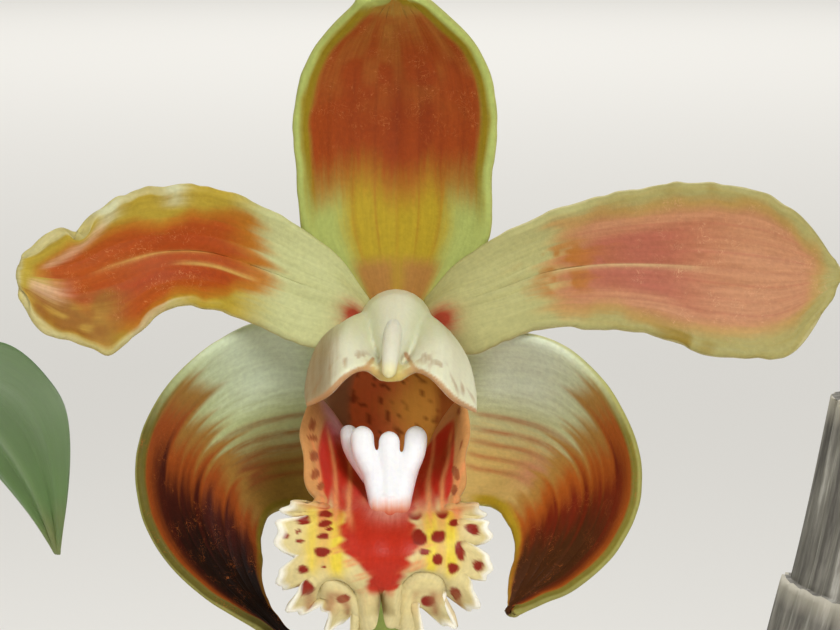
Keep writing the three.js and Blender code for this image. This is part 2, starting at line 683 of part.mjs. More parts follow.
// Where a bloom stands: its back is turned to the scape, at the end of its stalk.
function bloomMatrix({ at, facing, pitch, reach, size }) {
  const node = through(scapePath).getPoint(at);
  const heading = (facing + 90) * degree;
  const turn = new THREE.Euler(-pitch * degree, 0, heading, "ZYX");
  const rotation = new THREE.Matrix4().makeRotationFromEuler(turn);
  const outward = new THREE.Vector3(0, -1, 0).applyMatrix4(rotation);
  const back = new THREE.Vector3(...ovaryTop).multiplyScalar(size).applyMatrix4(rotation);
  const centre = node.clone().addScaledVector(outward, reach).sub(back);
  centre.z += reach * 0.12;
  return new THREE.Matrix4().compose(
    centre,
    new THREE.Quaternion().setFromEuler(turn),
    new THREE.Vector3(size, size, size),
  );
}

function bloomGroup(bloom, scape) {
  const matrix = bloomMatrix(bloom);
  const inverse = matrix.clone().invert();
  const start = through(scapePath).getPoint(bloom.at).applyMatrix4(inverse);
  const lean = new THREE.Vector3(0, -7, 3.5);
  const scapeHere = solidOf(scape.clone().applyMatrix4(inverse));
  const wide = bloom.fine ? { rows: 11, columns: 6 } : { rows: 5, columns: 3 };
  const lipGrid = bloom.fine
    ? { throatRows: 7, rows: 28, columns: 6, waves: 7 }
    : { throatRows: 3, rows: 12, columns: 4, waves: 4 };
  const columnGrid = bloom.fine ? { rows: 5, columns: 8, sides: 8 } : { rows: 3, columns: 4, sides: 5 };
  const column = columnSolid(columnGrid);
  const columnRoom = columnSolid(columnGrid, seat);
  const lip = clearOf(lipSolid(lipGrid), [columnRoom]);
  const group = new THREE.Group();
  group.applyMatrix4(matrix);
  const add = (part, solid, colour, roughness) =>
    group.add(piece(`${bloom.name}_${part}`, solid, colour, roughness));
  add("column", column, colours.column);
  add("lip", lip, colours.lip);
  if (bloom.fine) {
    const anther = solidOf(
      rod({
        path: antherPath,
        radiusAt: (u) => 1.1 * Math.sin(Math.PI * (0.2 + 0.62 * u)),
        stations: evenly(4),
        sides: 8,
        reference: [1, 0, 0],
      }),
    );
    add("anther_cap", clearOf(anther, [columnRoom]), colours.anther);
    add("callus", clearOf(callusSolid(), [lipSolid(lipGrid, seat), columnRoom]), colours.callus);
    const lipRoom = lipSolid(lipGrid, seat);
    const petalRoom = [petalLeft, petalRight].map((rails) => tepalSolid(rails, wide, seat));
    add("petal_left", clearOf(tepalSolid(petalLeft, wide), [columnRoom]), colours.petal);
    add("petal_right", clearOf(tepalSolid(petalRight, wide), [columnRoom]), colours.petal);
    const dorsalClear = [columnRoom, ...petalRoom];
    const dorsal = clearOf(tepalSolid(dorsalSepal, wide), dorsalClear);
    const sepalRoom = [columnRoom, lipRoom, ...petalRoom];
    const sepals = [lateralSepalLeft, lateralSepalRight].map((rails) =>
      clearOf(tepalSolid(rails, wide), sepalRoom),
    );
    add("dorsal_sepal", dorsal, colours.sepal);
    add("lateral_sepal_left", sepals[0], colours.sepal);
    add("lateral_sepal_right", clearOf(sepals[1], [tepalSolid(lateralSepalLeft, wide, seat)]), colours.sepal);
    const behind = [
      columnRoom,
      scapeHere,
      ...Object.values(tepals).map((rails) => tepalSolid(rails, wide, seat)),
    ];
    add("stalk", clearOf(solidOf(stalkRod(start, lean)), behind), colours.ovary);
  } else {
    const stalkRoom = solidOf(stalkRod(start, lean, seat));
    const cup = solidOf(new THREE.SphereGeometry(4.2, 6, 4).scale(1, 0.7, 1.5).translate(0, 7, -4.5));
    const crown = joined([cup, ...Object.values(tepals).map((rails) => tepalSolid(rails, wide))]);
    const lipRoom = lipSolid(lipGrid, seat);
    add("tepals", clearOf(crown, [columnRoom, lipRoom, stalkRoom]), colours.sepal);
    add("stalk", clearOf(solidOf(stalkRod(start, lean)), [scapeHere, columnRoom]), colours.ovary);
  }
  return group;
}

// A closed bud on its own short stalk.
function budSolid({ at, facing, length, radius, stalk }, scapeRoom) {
  const node = through(scapePath).getPoint(at);
  const ahead = new THREE.Vector3(Math.cos(facing * degree), Math.sin(facing * degree), 0.55).normalize();
  const up = new THREE.Vector3(0, 0, 1);
  const spot = (reach, rise) =>
    node.clone().addScaledVector(ahead, reach).addScaledVector(up, rise).toArray();
  const stem = rod({
    path: [spot(0, 0), spot(stalk * 0.5, 1), spot(stalk + 2, 1)],
    radiusAt: (u) => 1.2 + 0.5 * u,
    stations: evenly(2),
    sides: 5,
    reference: [0.2, 0.3, 1],
  });
  const body = rod({
    path: [spot(stalk, 1), spot(stalk + length * 0.5, 0.5), spot(stalk + length, -1)],
    radiusAt: (u) => radius * Math.sin(Math.PI * (0.12 + 0.84 * u)) ** 0.8,
    stations: evenly(6),
    sides: 7,
    reference: [0.2, 0.3, 1],
  });
  return clearOf(joined([stem, body].map(solidOf)), [scapeRoom]);
}

// The scape with a small bract under each stalk, and a longer one at each of its lower joints.
function scapeSolid() {
  const curve = through(scapePath);
  const bract = (at, facing, length, width) => {
    const node = curve.getPoint(at);
    const leaf = { heading: facing, rise: 48, droop: 8, length, width };
    const ahead = new THREE.Vector3(Math.cos(facing * degree), Math.sin(facing * degree), 0);
    const base = node.addScaledVector(ahead, 0.8).add(new THREE.Vector3(0, 0, -4.5));
    const { at: surface } = leafShape(leaf, base);
    return solidOf(sheet({ at: surface, stations: evenly(3), columns: 2, thickness: 0.8 }));
  };
  const under = [...blooms, ...buds].map(({ at, facing }) => bract(at, facing, 11, 6.5));
  const lower = [
    [0.12, 300, 16],
    [0.24, 130, 15],
  ].map(([at, facing, length]) => bract(at, facing, length, 8));
  return joined([solidOf(scapeRod()), ...under, ...lower]);
}

// The whole plant

const plant = new THREE.Group();
const rhizomeRoom = rhizomeSolid(seat);
const caneRooms = canes.map((cane) => caneSolid(cane, seat));
const scapeRoomRod = scapeRod(seat);

plant.add(piece("pot", potSolid(), colours.clay, 0.9));
plant.add(piece("bark_mix", clearOf(barkSolid(), [rhizomeRoom, ...caneRooms]), colours.bark, 0.95));
plant.add(piece("rhizome_and_roots", rhizomeSolid(), colours.root, 0.85));
canes.forEach((cane) => {
  plant.add(piece(cane.name, clearOf(caneSolid(cane), [rhizomeRoom]), cane.colour, 0.7));
});
leaves.forEach((leaf, i) => {
  const sheathing = leaves.slice(0, i).filter(({ cane }) => cane === leaf.cane);
  const blade = clearOf(leafSolid(leaf), [...caneRooms, ...sheathing.map((other) => leafSolid(other, seat))]);
  const colour = leaf.young ? colours.youngLeaf : colours.leaf;
  plant.add(piece(`leaf_${i + 1}`, blade, colour, 0.55));
});
plant.add(piece("scape", clearOf(scapeSolid(), caneRooms), colours.scape, 0.5));
const scapeRoom = solidOf(scapeRoomRod);
blooms.forEach((bloom) => plant.add(bloomGroup(bloom, scapeRoomRod)));
buds.forEach((bud) => plant.add(piece(bud.name, budSolid(bud, scapeRoom), colours.ovary)));

export default plant;
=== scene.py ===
import bpy
import math
import numpy as np
from mathutils import Matrix, Vector


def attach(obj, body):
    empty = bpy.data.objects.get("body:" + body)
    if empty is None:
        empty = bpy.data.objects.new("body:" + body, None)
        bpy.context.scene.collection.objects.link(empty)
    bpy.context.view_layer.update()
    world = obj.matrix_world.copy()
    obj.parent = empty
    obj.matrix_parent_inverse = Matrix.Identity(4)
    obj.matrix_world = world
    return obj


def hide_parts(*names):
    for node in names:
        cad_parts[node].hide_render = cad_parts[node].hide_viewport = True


# A potted Chysis aurea in flower, seen close from the front of its lowest bloom.
# Sizes below are in millimetres and go to metres when a mesh is made.

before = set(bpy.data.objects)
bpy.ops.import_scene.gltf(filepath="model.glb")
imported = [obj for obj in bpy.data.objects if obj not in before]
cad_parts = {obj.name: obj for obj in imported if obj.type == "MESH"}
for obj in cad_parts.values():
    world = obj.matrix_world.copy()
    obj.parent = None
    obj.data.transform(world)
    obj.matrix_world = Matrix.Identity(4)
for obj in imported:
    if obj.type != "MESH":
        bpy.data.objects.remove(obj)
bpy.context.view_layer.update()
mm = 0.001
scene = bpy.context.scene


# sRGB hex to the linear colour that Blender takes
def linear(text):
    values = [int(text[i:i + 2], 16) / 255 for i in (1, 3, 5)]
    return [v / 12.92 if v <= 0.04045 else ((v + 0.055) / 1.055) ** 2.4 for v in values] + [1.0]


# sets or links an input to a value, a socket, a node whose first output in use is meant, or, in a
# material, to the attribute of a name
def plug(tree, value, target):
    if isinstance(value, str) and target.type != "STRING":
        value = add(tree, "ShaderNodeAttribute", attribute_name=value).outputs["Fac"]
    if isinstance(value, bpy.types.Node):
        value = next(output for output in value.outputs if output.enabled)
    if isinstance(value, bpy.types.NodeSocket):
        tree.links.new(value, target)
    else:
        target.default_value = value


# adds a node with its settings; inputs are listed from the first on, or by their names or numbers
def add(tree, kind, inputs=(), **settings):
    node = tree.nodes.new(kind)
    for key, value in settings.items():
        setattr(node, key, value)
    for key, value in inputs.items() if isinstance(inputs, dict) else enumerate(inputs):
        plug(tree, value, node.inputs[key])
    return node


# colours painted over a ground, one over another, each as strong as its factor
def layered(tree, ground, layers):
    colour = linear(ground)
    for factor, paint in layers:
        over = linear(paint) if isinstance(paint, str) else paint
        colour = add(tree, "ShaderNodeMix", {0: factor, 6: colour, 7: over}, data_type="RGBA")
    return colour


def newMaterial(name, roughness):
    material = bpy.data.materials.new(name)
    material.use_nodes = True
    shader = material.node_tree.nodes["Principled BSDF"]
    shader.inputs["Roughness"].default_value = roughness
    return material, material.node_tree, shader


# links a material's colour and the relief of its skin, depth in mm
def dressed(tree, shader, colour, height, strength, depth):
    bump = add(tree, "ShaderNodeBump", {"Height": height, "Strength": strength, "Distance": depth * mm})
    plug(tree, colour, shader.inputs["Base Color"])
    plug(tree, bump, shader.inputs["Normal"])


# light that scatters in wet tissue; scale in mm, and how far each of red, green and blue goes
def glowing(shader, weight, scale, radius):
    shader.inputs["Subsurface Weight"].default_value = weight
    shader.inputs["Subsurface Scale"].default_value = scale * mm
    shader.inputs["Subsurface Radius"].default_value = radius


# Smooth maths on arrays

def ramp(low, high, x):
    t = np.clip((x - low) / (high - low), 0, 1)
    return t * t * (3 - 2 * t)


def hump(x, centre, width):
    return np.exp(-(((x - centre) / width) ** 2))


# smooth noise from -1 to 1, a new value at each whole number of x and y
def uneven(x, y, seed):
    lattice = np.random.default_rng(seed).uniform(-1, 1, (64, 64))
    x, y = np.broadcast_arrays(x, y)
    column, row = np.floor(x).astype(int), np.floor(y).astype(int)
    fx, fy = x - column, y - row
    fx, fy = fx * fx * (3 - 2 * fx), fy * fy * (3 - 2 * fy)
    low = lattice[column % 64, row % 64] * (1 - fx) + lattice[(column + 1) % 64, row % 64] * fx
    high = lattice[column % 64, (row + 1) % 64] * (1 - fx) + lattice[(column + 1) % 64, (row + 1) % 64] * fx
    return low * (1 - fy) + high * fy


# a point on the smooth curve through the listed points, t from 0 to 1
def curveAt(points, t):
    p = np.array(points, float)
    p = np.vstack([2 * p[0] - p[1], p, 2 * p[-1] - p[-2]])
    spans = len(p) - 3
    s = np.clip(np.asarray(t, float) * spans, 0, spans)
    i = np.minimum(s.astype(int), spans - 1)
    w = (s - i)[..., None]
    a, b, c, d = p[i], p[i + 1], p[i + 2], p[i + 3]
    return b + 0.5 * w * (c - a + w * (2 * a - 5 * b + 4 * c - d + w * (3 * (b - c) + d - a)))


# the surface across three rails: left edge, midline and right edge of a petal or leaf
def railed(rails, u, v):
    left, middle, right = (curveAt(rails[k], u) for k in ("left", "middle", "right"))
    v = v[..., None]
    return middle + (right - left) * v / 2 + ((left + right) / 2 - middle) * v * v


def unit(vectors):
    return vectors / np.maximum(np.linalg.norm(vectors, axis=-1, keepdims=True), 1e-9)


def normals(points):
    return unit(np.cross(np.gradient(points, axis=0), np.gradient(points, axis=1)))


def fullTurn(count):
    return np.linspace(0, 2 * np.pi, count, endpoint=False)


# horizontal and unit length, toward a heading in degrees
def outward(heading):
    return np.array([math.cos(math.radians(heading)), math.sin(math.radians(heading)), 0])


# Meshes

# points in mm, put through the pose (a 4x4 matrix, in mm) and made a mesh object in metres
def meshObject(name, points, faces, material, pose=None):
    points = np.asarray(points, float)
    if pose is not None:
        points = points @ pose[:3, :3].T + pose[:3, 3]
    mesh = bpy.data.meshes.new(name)
    mesh.from_pydata((points * mm).tolist(), [], faces)
    mesh.shade_smooth()
    mesh.materials.append(material)
    piece = bpy.data.objects.new(name, mesh)
    scene.collection.objects.link(piece)
    return piece


def addAttribute(piece, name, values):
    attribute = piece.data.attributes.new(name, "FLOAT", "POINT")
    attribute.data.foreach_set("value", np.asarray(values, np.float32).ravel())


# the attributes that a material reads, and the UV map spread: along and across the skin, in mm
def addLooks(piece, looks, along, across):
    for key, values in looks.items():
        addAttribute(piece, key, values)
    mesh = piece.data
    corner = np.empty(len(mesh.loops), np.int32)
    mesh.loops.foreach_get("vertex_index", corner)
    spread = mesh.uv_layers.new(name="spread")
    flat = np.stack([along[corner], across[corner]], 1)
    spread.data.foreach_set("uv", flat.astype(np.float32).ravel())


# shares from 0 to 1, close together at both ends so that a rim can be rounded there
def rimmed(count, inset):
    edge = np.array([0, 0.07, 0.28, 0.6]) * inset
    return np.concatenate([edge, np.linspace(inset, 1 - inset, count), 1 - edge[::-1]])


def roundedOff(share, inset):
    near = np.clip(np.minimum(share, 1 - share) / inset, 0, 1)
    return np.sqrt(1 - (1 - near) ** 2)


# u from 0 to 1 along a sheet, v from -1 to 1 across it, and half its thickness there
def sheetGrid(rows, columns, thickness, insetAlong, insetAcross):
    along, across = rimmed(rows, insetAlong), rimmed(columns, insetAcross)
    u, v = np.meshgrid(along, 2 * across - 1, indexing="ij")
    half = 0.5 * thickness * roundedOff(along, insetAlong)[:, None] * roundedOff(across, insetAcross)[None, :]
    return u, v, half


# a closed sheet over a grid of points; half is half its thickness, nothing at the rim, where
# both faces meet. Returns the points, the faces, the normals and the order of its values
def closedSheet(points, half):
    rows, columns = points.shape[:2]
    normal = normals(points)
    front = (points + normal * half[..., None]).reshape(-1, 3)
    inside = np.zeros((rows, columns), bool)
    inside[1:-1, 1:-1] = True
    keep = np.flatnonzero(inside.ravel())
    back = (points - normal * half[..., None]).reshape(-1, 3)[keep]
    frontIndex = np.arange(rows * columns).reshape(rows, columns)
    backIndex = frontIndex.copy()
    backIndex.ravel()[keep] = rows * columns + np.arange(len(keep))
    f = np.stack([frontIndex[:-1, :-1], frontIndex[1:, :-1], frontIndex[1:, 1:], frontIndex[:-1, 1:]], -1)
    b = np.stack([backIndex[:-1, :-1], backIndex[:-1, 1:], backIndex[1:, 1:], backIndex[1:, :-1]], -1)
    faces = np.concatenate([f.reshape(-1, 4), b.reshape(-1, 4)]).tolist()
    order = np.concatenate([np.arange(rows * columns), keep])
    return np.concatenate([front, back]), faces, normal, order


# a whole sheet piece with its looks. The attribute facing is 1 on the face turned toward that way
def sheetPiece(name, points, half, looks, material, pose, spread, facing="inner", toward=(0, -1, 0)):
    placed, faces, normal, order = closedSheet(points, half)
    onFront = np.arange(len(order)) < half.size
    frontTurned = (normal @ np.array(toward)).mean() > 0
    piece = meshObject(name, placed, faces, material, pose)
    spans = {key: np.broadcast_to(values, half.shape).ravel()[order] for key, values in looks.items()}
    along, across = (lengths.ravel()[order] for lengths in spread)
    addLooks(piece, {facing: onFront == frontTurned, **spans}, along, across)
    return piece


# faces of a stack of rings, whose points are followed by one more point at each end
def ringFaces(rings, sides):
    index = np.arange(rings * sides).reshape(rings, sides)
    after = np.roll(index, -1, axis=1)
    faces = np.stack([index[:-1], after[:-1], after[1:], index[1:]], -1).reshape(-1, 4).tolist()
    foot, tip = rings * sides, rings * sides + 1
    faces += [[foot, b, a] for a, b in zip(index[0].tolist(), after[0].tolist())]
    faces += [[tip, a, b] for a, b in zip(index[-1].tolist(), after[-1].tolist())]
    return faces


# a round rod along a curve, with radius(u, angle); both ends close in a point. Returns its points,
# its faces and, for each point, its share of the way along and its angle
def rodShape(path, radius, rows, sides, reference=(1, 0, 0)):
    u = rimmed(rows, 0.02)
    centre = curveAt(path, u)
    tangent = unit(np.gradient(centre, axis=0))
    across = unit(np.cross(np.array(reference, float), tangent))
    up = np.cross(tangent, across)
    angle = fullTurn(sides)
    size = np.broadcast_to(radius(u[:, None], angle[None, :]), (len(u), sides))[..., None]
    around = across[:, None] * np.cos(angle)[None, :, None] + up[:, None] * np.sin(angle)[None, :, None]
    ring = centre[:, None] + around * size
    points = np.concatenate([ring.reshape(-1, 3), centre[:1], centre[-1:]])
    share = np.concatenate([np.repeat(u, sides), [0, 1]])
    return points, ringFaces(len(u), sides), share, np.concatenate([np.tile(angle, len(u)), [0, 0]])


# the points and faces of several shapes as one
def joined(shapes):
    points, faces = [], []
    for somePoints, someFaces, *rest in shapes:
        start = sum(len(p) for p in points)
        faces += [[start + k for k in face] for face in someFaces]
        points.append(somePoints)
    return np.concatenate(points), faces


# several closed shapes grown into one skin by a voxel remesh, then smoothed
def grownTogether(name, shapes, material, pose, voxel, smoothing):
    piece = meshObject(name, *joined(shapes), material)
    remesh = piece.modifiers.new("grown", "REMESH")
    remesh.mode = "VOXEL"
    remesh.voxel_size = voxel * mm
    smooth = piece.modifiers.new("smoothed", "SMOOTH")
    smooth.factor = 0.5
    smooth.iterations = smoothing
    settle(piece)
    place = pose.copy()
    place[:3, 3] *= mm
    piece.data.transform(Matrix(place.tolist()))
    piece.data.shade_smooth()
    return piece


# replaces an object's mesh by what its modifiers make of it, and takes them off
def settle(piece):
    bpy.context.view_layer.update()
    graph = bpy.context.evaluated_depsgraph_get()
    mesh = bpy.data.meshes.new_from_object(piece.evaluated_get(graph), depsgraph=graph)
    piece.modifiers.clear()
    piece.data = mesh


# every point of a piece, in mm and in a bloom's own frame
def ownPoints(piece, pose):
    flat = np.empty(len(piece.data.vertices) * 3, np.float32)
    piece.data.vertices.foreach_get("co", flat)
    inverse = np.linalg.inv(pose)
    return (flat.reshape(-1, 3) / mm) @ inverse[:3, :3].T + inverse[:3, 3]


def finish(piece, node):
    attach(piece, "root")
    if node:
        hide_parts(node)


# Where the raceme and its blooms stand

scapePath = [[-17, -16, 99], [4, -31, 118], [30, -44, 160], [43, -50, 200], [45, -50, 236],
             [44, -48, 272], [41, -46, 304], [37, -46, 332], [32, -48, 357], [26, -52, 378], [20, -57, 396]]
ovaryTop = np.array([0, 4.5, -2.2])
blooms = [
    {"name": "bloom_1", "at": 0.385, "facing": 270, "pitch": 8, "reach": 28.7, "size": 1, "seed": 1},
    {"name": "bloom_2", "at": 0.575, "facing": 202, "pitch": 2, "reach": 28.7, "size": 0.98, "seed": 2},
    {"name": "bloom_3", "at": 0.672, "facing": 338, "pitch": 4, "reach": 28.7, "size": 0.96, "seed": 3},
    {"name": "bloom_4", "at": 0.76, "facing": 96, "pitch": 2, "reach": 27.7, "size": 0.94, "seed": 4},
]


# from a bloom's own frame, where it faces -Y, to the plant's
def bloomPose(bloom):
    heading = math.radians(bloom["facing"] + 90)
    pitch = math.radians(bloom["pitch"])
    turn = np.array(Matrix.Rotation(heading, 3, "Z") @ Matrix.Rotation(-pitch, 3, "X"))
    centre = curveAt(scapePath, bloom["at"]) + turn @ np.array([0, -1, 0]) * bloom["reach"]
    centre = centre - turn @ ovaryTop * bloom["size"] + np.array([0, 0, 0.12 * bloom["reach"]])
    pose = np.eye(4)
    pose[:3, :3] = turn * bloom["size"]
    pose[:3, 3] = centre
    return pose


heroPose = bloomPose(blooms[0])

# Camera, floor and light

view = {"aim": [1.97, -260, 0.26], "turn": (82, 0, 0), "lens": 130.17}
cameraData = bpy.data.cameras.new("camera")
cameraData.lens = view["lens"]
cameraData.sensor_width = 36
cameraData.clip_start = 0.01
cameraData.clip_end = 100
camera = bpy.data.objects.new("camera", cameraData)
camera.location = (heroPose[:3, :3] @ np.array(view["aim"]) + heroPose[:3, 3]) * mm
camera.rotation_euler = [math.radians(a) for a in view["turn"]]
scene.collection.objects.link(camera)
scene.camera = camera
scene.view_settings.view_transform = "Standard"

studio = {
    "floorRadius": 30, "floorColour": "#e6e4df", "worldStrength": 0.34,
    "lamps": {
        "key": {"at": [0.24, -0.56, 0.42], "size": 0.3, "power": 3.7},
        "fill": {"at": [-0.52, -0.46, 0.3], "size": 0.5, "power": 1.1},
        "back": {"at": [-0.25, 0.6, 0.6], "size": 0.6, "power": 2.6},
        "floor": {"at": [0.0, 5.2, 6.0], "size": 5.0, "power": 400.0, "aim": [0.0, 5.0, -0.24]},
    },
}


# a flat round plate of one face
def makePlate(name, radius, height, corners, material):
    angle = fullTurn(corners)
    points = np.stack([np.cos(angle) * radius, np.sin(angle) * radius, 0 * angle + height], 1)
    return meshObject(name, points, [list(range(corners))], material)


paper, tree, shader = newMaterial("paper sweep, matte", 0.9)
shader.inputs["Base Color"].default_value = linear(studio["floorColour"])
floor = makePlate("floor", studio["floorRadius"] / mm, 0, 64, paper)

world = bpy.data.worlds.new("studio")
world.use_nodes = True
background = world.node_tree.nodes["Background"]
background.inputs["Color"].default_value = linear(studio["floorColour"])
background.inputs["Strength"].default_value = studio["worldStrength"]
scene.world = world

heroSpot = Vector(heroPose[:3, 3] * mm)
for name, lamp in studio["lamps"].items():
    light = bpy.data.lights.new(name, "AREA")
    light.shape = "DISK"
    light.size = lamp["size"]
    light.energy = lamp["power"]
    holder = bpy.data.objects.new(name, light)
    holder.location = heroSpot + Vector(lamp["at"])
    toward = Vector(lamp.get("aim", [0, 0, 0])) - Vector(lamp["at"])
    holder.rotation_euler = toward.to_track_quat("-Z", "Y").to_euler()
    scene.collection.objects.link(holder)
print("camera, floor and light are set")


# Flower materials

# Tepal flesh: waxy skin over soft wet tissue. The layers are painted one over another, each a
# colour by an attribute; a little light scatters inside and the cells give a fine grain.
def fleshMaterial(name, ground, behind, layers, glints=None, patchy=0.1, scatter=0.12, roughness=0.56,
                  ragged=3.0, scatterScale=1.0):
    material, tree, shader = newMaterial(name, roughness)
    spread = add(tree, "ShaderNodeUVMap", uv_map="spread")
    place = add(tree, "ShaderNodeTexCoord").outputs["Object"]
    # pigment runs along the veins in streaks 3 mm long and a third of a millimetre wide
    stretched = add(tree, "ShaderNodeMapping", {0: spread, "Scale": (1 / 3, 3, 1)})
    streak = add(tree, "ShaderNodeTexNoise", {"Vector": stretched, "Scale": 1.0, "Detail": 3.0})
    loose = add(tree, "ShaderNodeMath", [streak, 0.5], operation="SUBTRACT")
    painted = []
    for attribute, paint in layers:
        mask = add(tree, "ShaderNodeAttribute", attribute_name=attribute).outputs["Fac"]
        # a mask is moved by the streaks where it is half strong, so that its edge is ragged
        rest = add(tree, "ShaderNodeMath", [1.0, mask], operation="SUBTRACT")
        half = add(tree, "ShaderNodeMath", [mask, rest], operation="MULTIPLY")
        moved = add(tree, "ShaderNodeMath", [half, loose], operation="MULTIPLY")
        factor = add(tree, "ShaderNodeMath", [moved, ragged, mask], operation="MULTIPLY_ADD", use_clamp=True)
        painted.append((factor, paint))
    if glints:
        # painted glints: short pale wormy lines, where papery cells catch the light; drawn twice their real
        # size
        attribute, paint = glints
        worms = {"Vector": place, "Scale": 1 / (0.8 * mm), "Detail": 1.0, "Distortion": 2.0}
        level = add(tree, "ShaderNodeTexNoise", worms)
        away = add(tree, "ShaderNodeMath", [level, 0.5], operation="SUBTRACT")
        near = add(tree, "ShaderNodeMath", [away], operation="ABSOLUTE")
        thin = add(tree, "ShaderNodeMapRange", {0: near, 1: 0.0, 2: 0.02, 3: 0.75, 4: 0.0})
        patch = add(tree, "ShaderNodeTexNoise", {"Vector": place, "Scale": 1 / (1.6 * mm), "Detail": 2.0})
        shown = add(tree, "ShaderNodeMapRange", {0: patch, 1: 0.48, 2: 0.62})
        seen = add(tree, "ShaderNodeMath", [thin, shown], operation="MULTIPLY")
        painted.append((add(tree, "ShaderNodeMath", [seen, attribute], operation="MULTIPLY"), paint))
    # the back is paler and plainer than the face
    outer = add(tree, "ShaderNodeMapRange", {0: "inner", 1: 0.0, 2: 1.0, 3: 0.72, 4: 0.0})
    colour = layered(tree, ground, painted + [(outer, behind)])
    # uneven pigment in patches of 0.4 mm
    fine = add(tree, "ShaderNodeTexNoise", {"Vector": place, "Scale": 1 / (0.4 * mm), "Detail": 3.0})
    mottle = add(tree, "ShaderNodeMath", [fine, loose], operation="ADD")
    shade = add(tree, "ShaderNodeMapRange", {0: mottle, 1: 0.2, 2: 0.8, 3: 1 - patchy, 4: 1 + patchy})
    tinted = add(tree, "ShaderNodeHueSaturation", {"Value": shade, "Color": colour})
    shader.inputs["IOR"].default_value = 1.42
    shader.inputs["Specular IOR Level"].default_value = 0.25
    glowing(shader, scatter, scatterScale, (1.0, 0.7, 0.4))
    # the skin's cells, 0.2 mm across
    cells = add(tree, "ShaderNodeTexNoise", {"Vector": place, "Scale": 1 / (0.2 * mm), "Detail": 2.0})
    dressed(tree, shader, tinted, cells, 0.3, 0.1)
    return material


# Tepals. Rails are in the bloom's own frame, where it faces -Y: two edges and the midline, from
# foot to tip.

dorsalSepal = {
    "rails": {
        "left": [[-3.4, 3.2, 0.7], [-6.5, 1.5, 4.3], [-8.1, 0.5, 7.4], [-8.5, -0.5, 12.2], [-8.7, -1.5, 17.5],
                 [-7.2, -3, 22.3], [-3.6, -5.5, 26], [-0.6, -7, 27.2]],
        "middle": [[0, 3.7, 0.9], [0, 3.5, 5.5], [0, 3.2, 8.9], [0, 2.8, 13.2], [0.1, 1.8, 17.9],
                   [0.1, -0.5, 22], [0, -4.5, 25.5], [0, -7, 27.3]],
        "right": [[3.3, 3.2, 0.7], [6.4, 1.5, 4.3], [8, 0.5, 7.4], [8.1, -0.5, 12.2], [8.4, -1.5, 17.5],
                  [7.2, -3, 22.3], [3.5, -5.5, 26], [0.6, -7, 27.2]],
    },
    "size": (28, 17), "veins": 9, "edge": 0.008, "bow": 0, "crinkle": 0.05, "lobes": [(-1, 0.9, 0.03, 0.18)],
}
petalLeft = {
    "rails": {
        "left": [[-2.6, 3.4, 1.4], [-4.9, 1.6, 5.1], [-8.5, -0.5, 7.9], [-12.5, -2, 10], [-16.2, -3.5, 11],
                 [-19.9, -5, 11], [-23.3, -6, 9.7], [-27.2, -6.8, 7.3], [-31.1, -7.5, 5]],
        "middle": [[-2.5, 3.7, 0], [-5.3, 2.8, 1.4], [-8.5, 1.5, 2.9], [-12.6, 0, 4.5], [-16.3, -1.5, 5.6],
                   [-20, -3, 5.6], [-23.5, -4.2, 4.7], [-27.4, -5.5, 3.4], [-31.4, -7.2, 3.6]],
        "right": [[-3, 3.5, -1.5], [-5.9, 0.8, -2.7], [-9, -0.5, -2], [-12.4, -2.5, -0.3], [-16.2, -4, 1],
                  [-19.7, -5.2, 0.6], [-23.3, -5.5, -2.5], [-28.1, -6.2, -1.6], [-31.3, -7.2, 2.3]],
    },
    "size": (31, 11), "veins": 7, "edge": 0.025, "bow": 2.1, "crinkle": 0.5,
    # the tip has a lobe above with a notch behind it, and a point below
    "lobes": [(-1, 0.94, 0.05, 0.34), (-1, 0.855, 0.02, -0.26), (-1, 0.75, 0.022, 0.08),
              (1, 0.775, 0.02, 0.05), (1, 0.95, 0.05, 0.32)],
}
petalRight = {
    "rails": {
        "left": [[2.6, 3.4, 1.4], [4.8, 1.8, 4.4], [8.1, 0, 6.7], [12.6, -0.6, 8.8], [17.3, -1, 10.3],
                 [22.4, -1, 11.3], [27.6, -1, 11.4], [32.7, -0.5, 9.8], [37.6, 0.3, 4.8]],
        "middle": [[2.5, 3.7, 0], [5.3, 2.8, 1], [8.6, 2, 2.4], [12.7, 1.5, 3.9], [17.4, 1, 4.6],
                   [22.6, 0.8, 4.6], [27.7, 0.8, 4.3], [32.9, 0.8, 3.8], [37.9, 0.5, 3.7]],
        "right": [[3, 3.5, -1.5], [6.3, 0.8, -3.1], [9.2, 0, -2], [12.6, -0.5, -0.9], [17.3, -1, -0.7],
                  [21.6, -1.2, -1.3], [25.8, -1.2, -3], [31.8, -0.8, -3], [37.6, 0.3, 2.4]],
    },
    "size": (36, 13), "veins": 9, "edge": 0.03, "bow": 2.1, "crinkle": 0.4,
    # the tip is broad below and a little fuller above
    "lobes": [(1, 0.945, 0.055, 0.36), (1, 0.985, 0.03, 0.3), (-1, 0.94, 0.05, 0.13)],
}
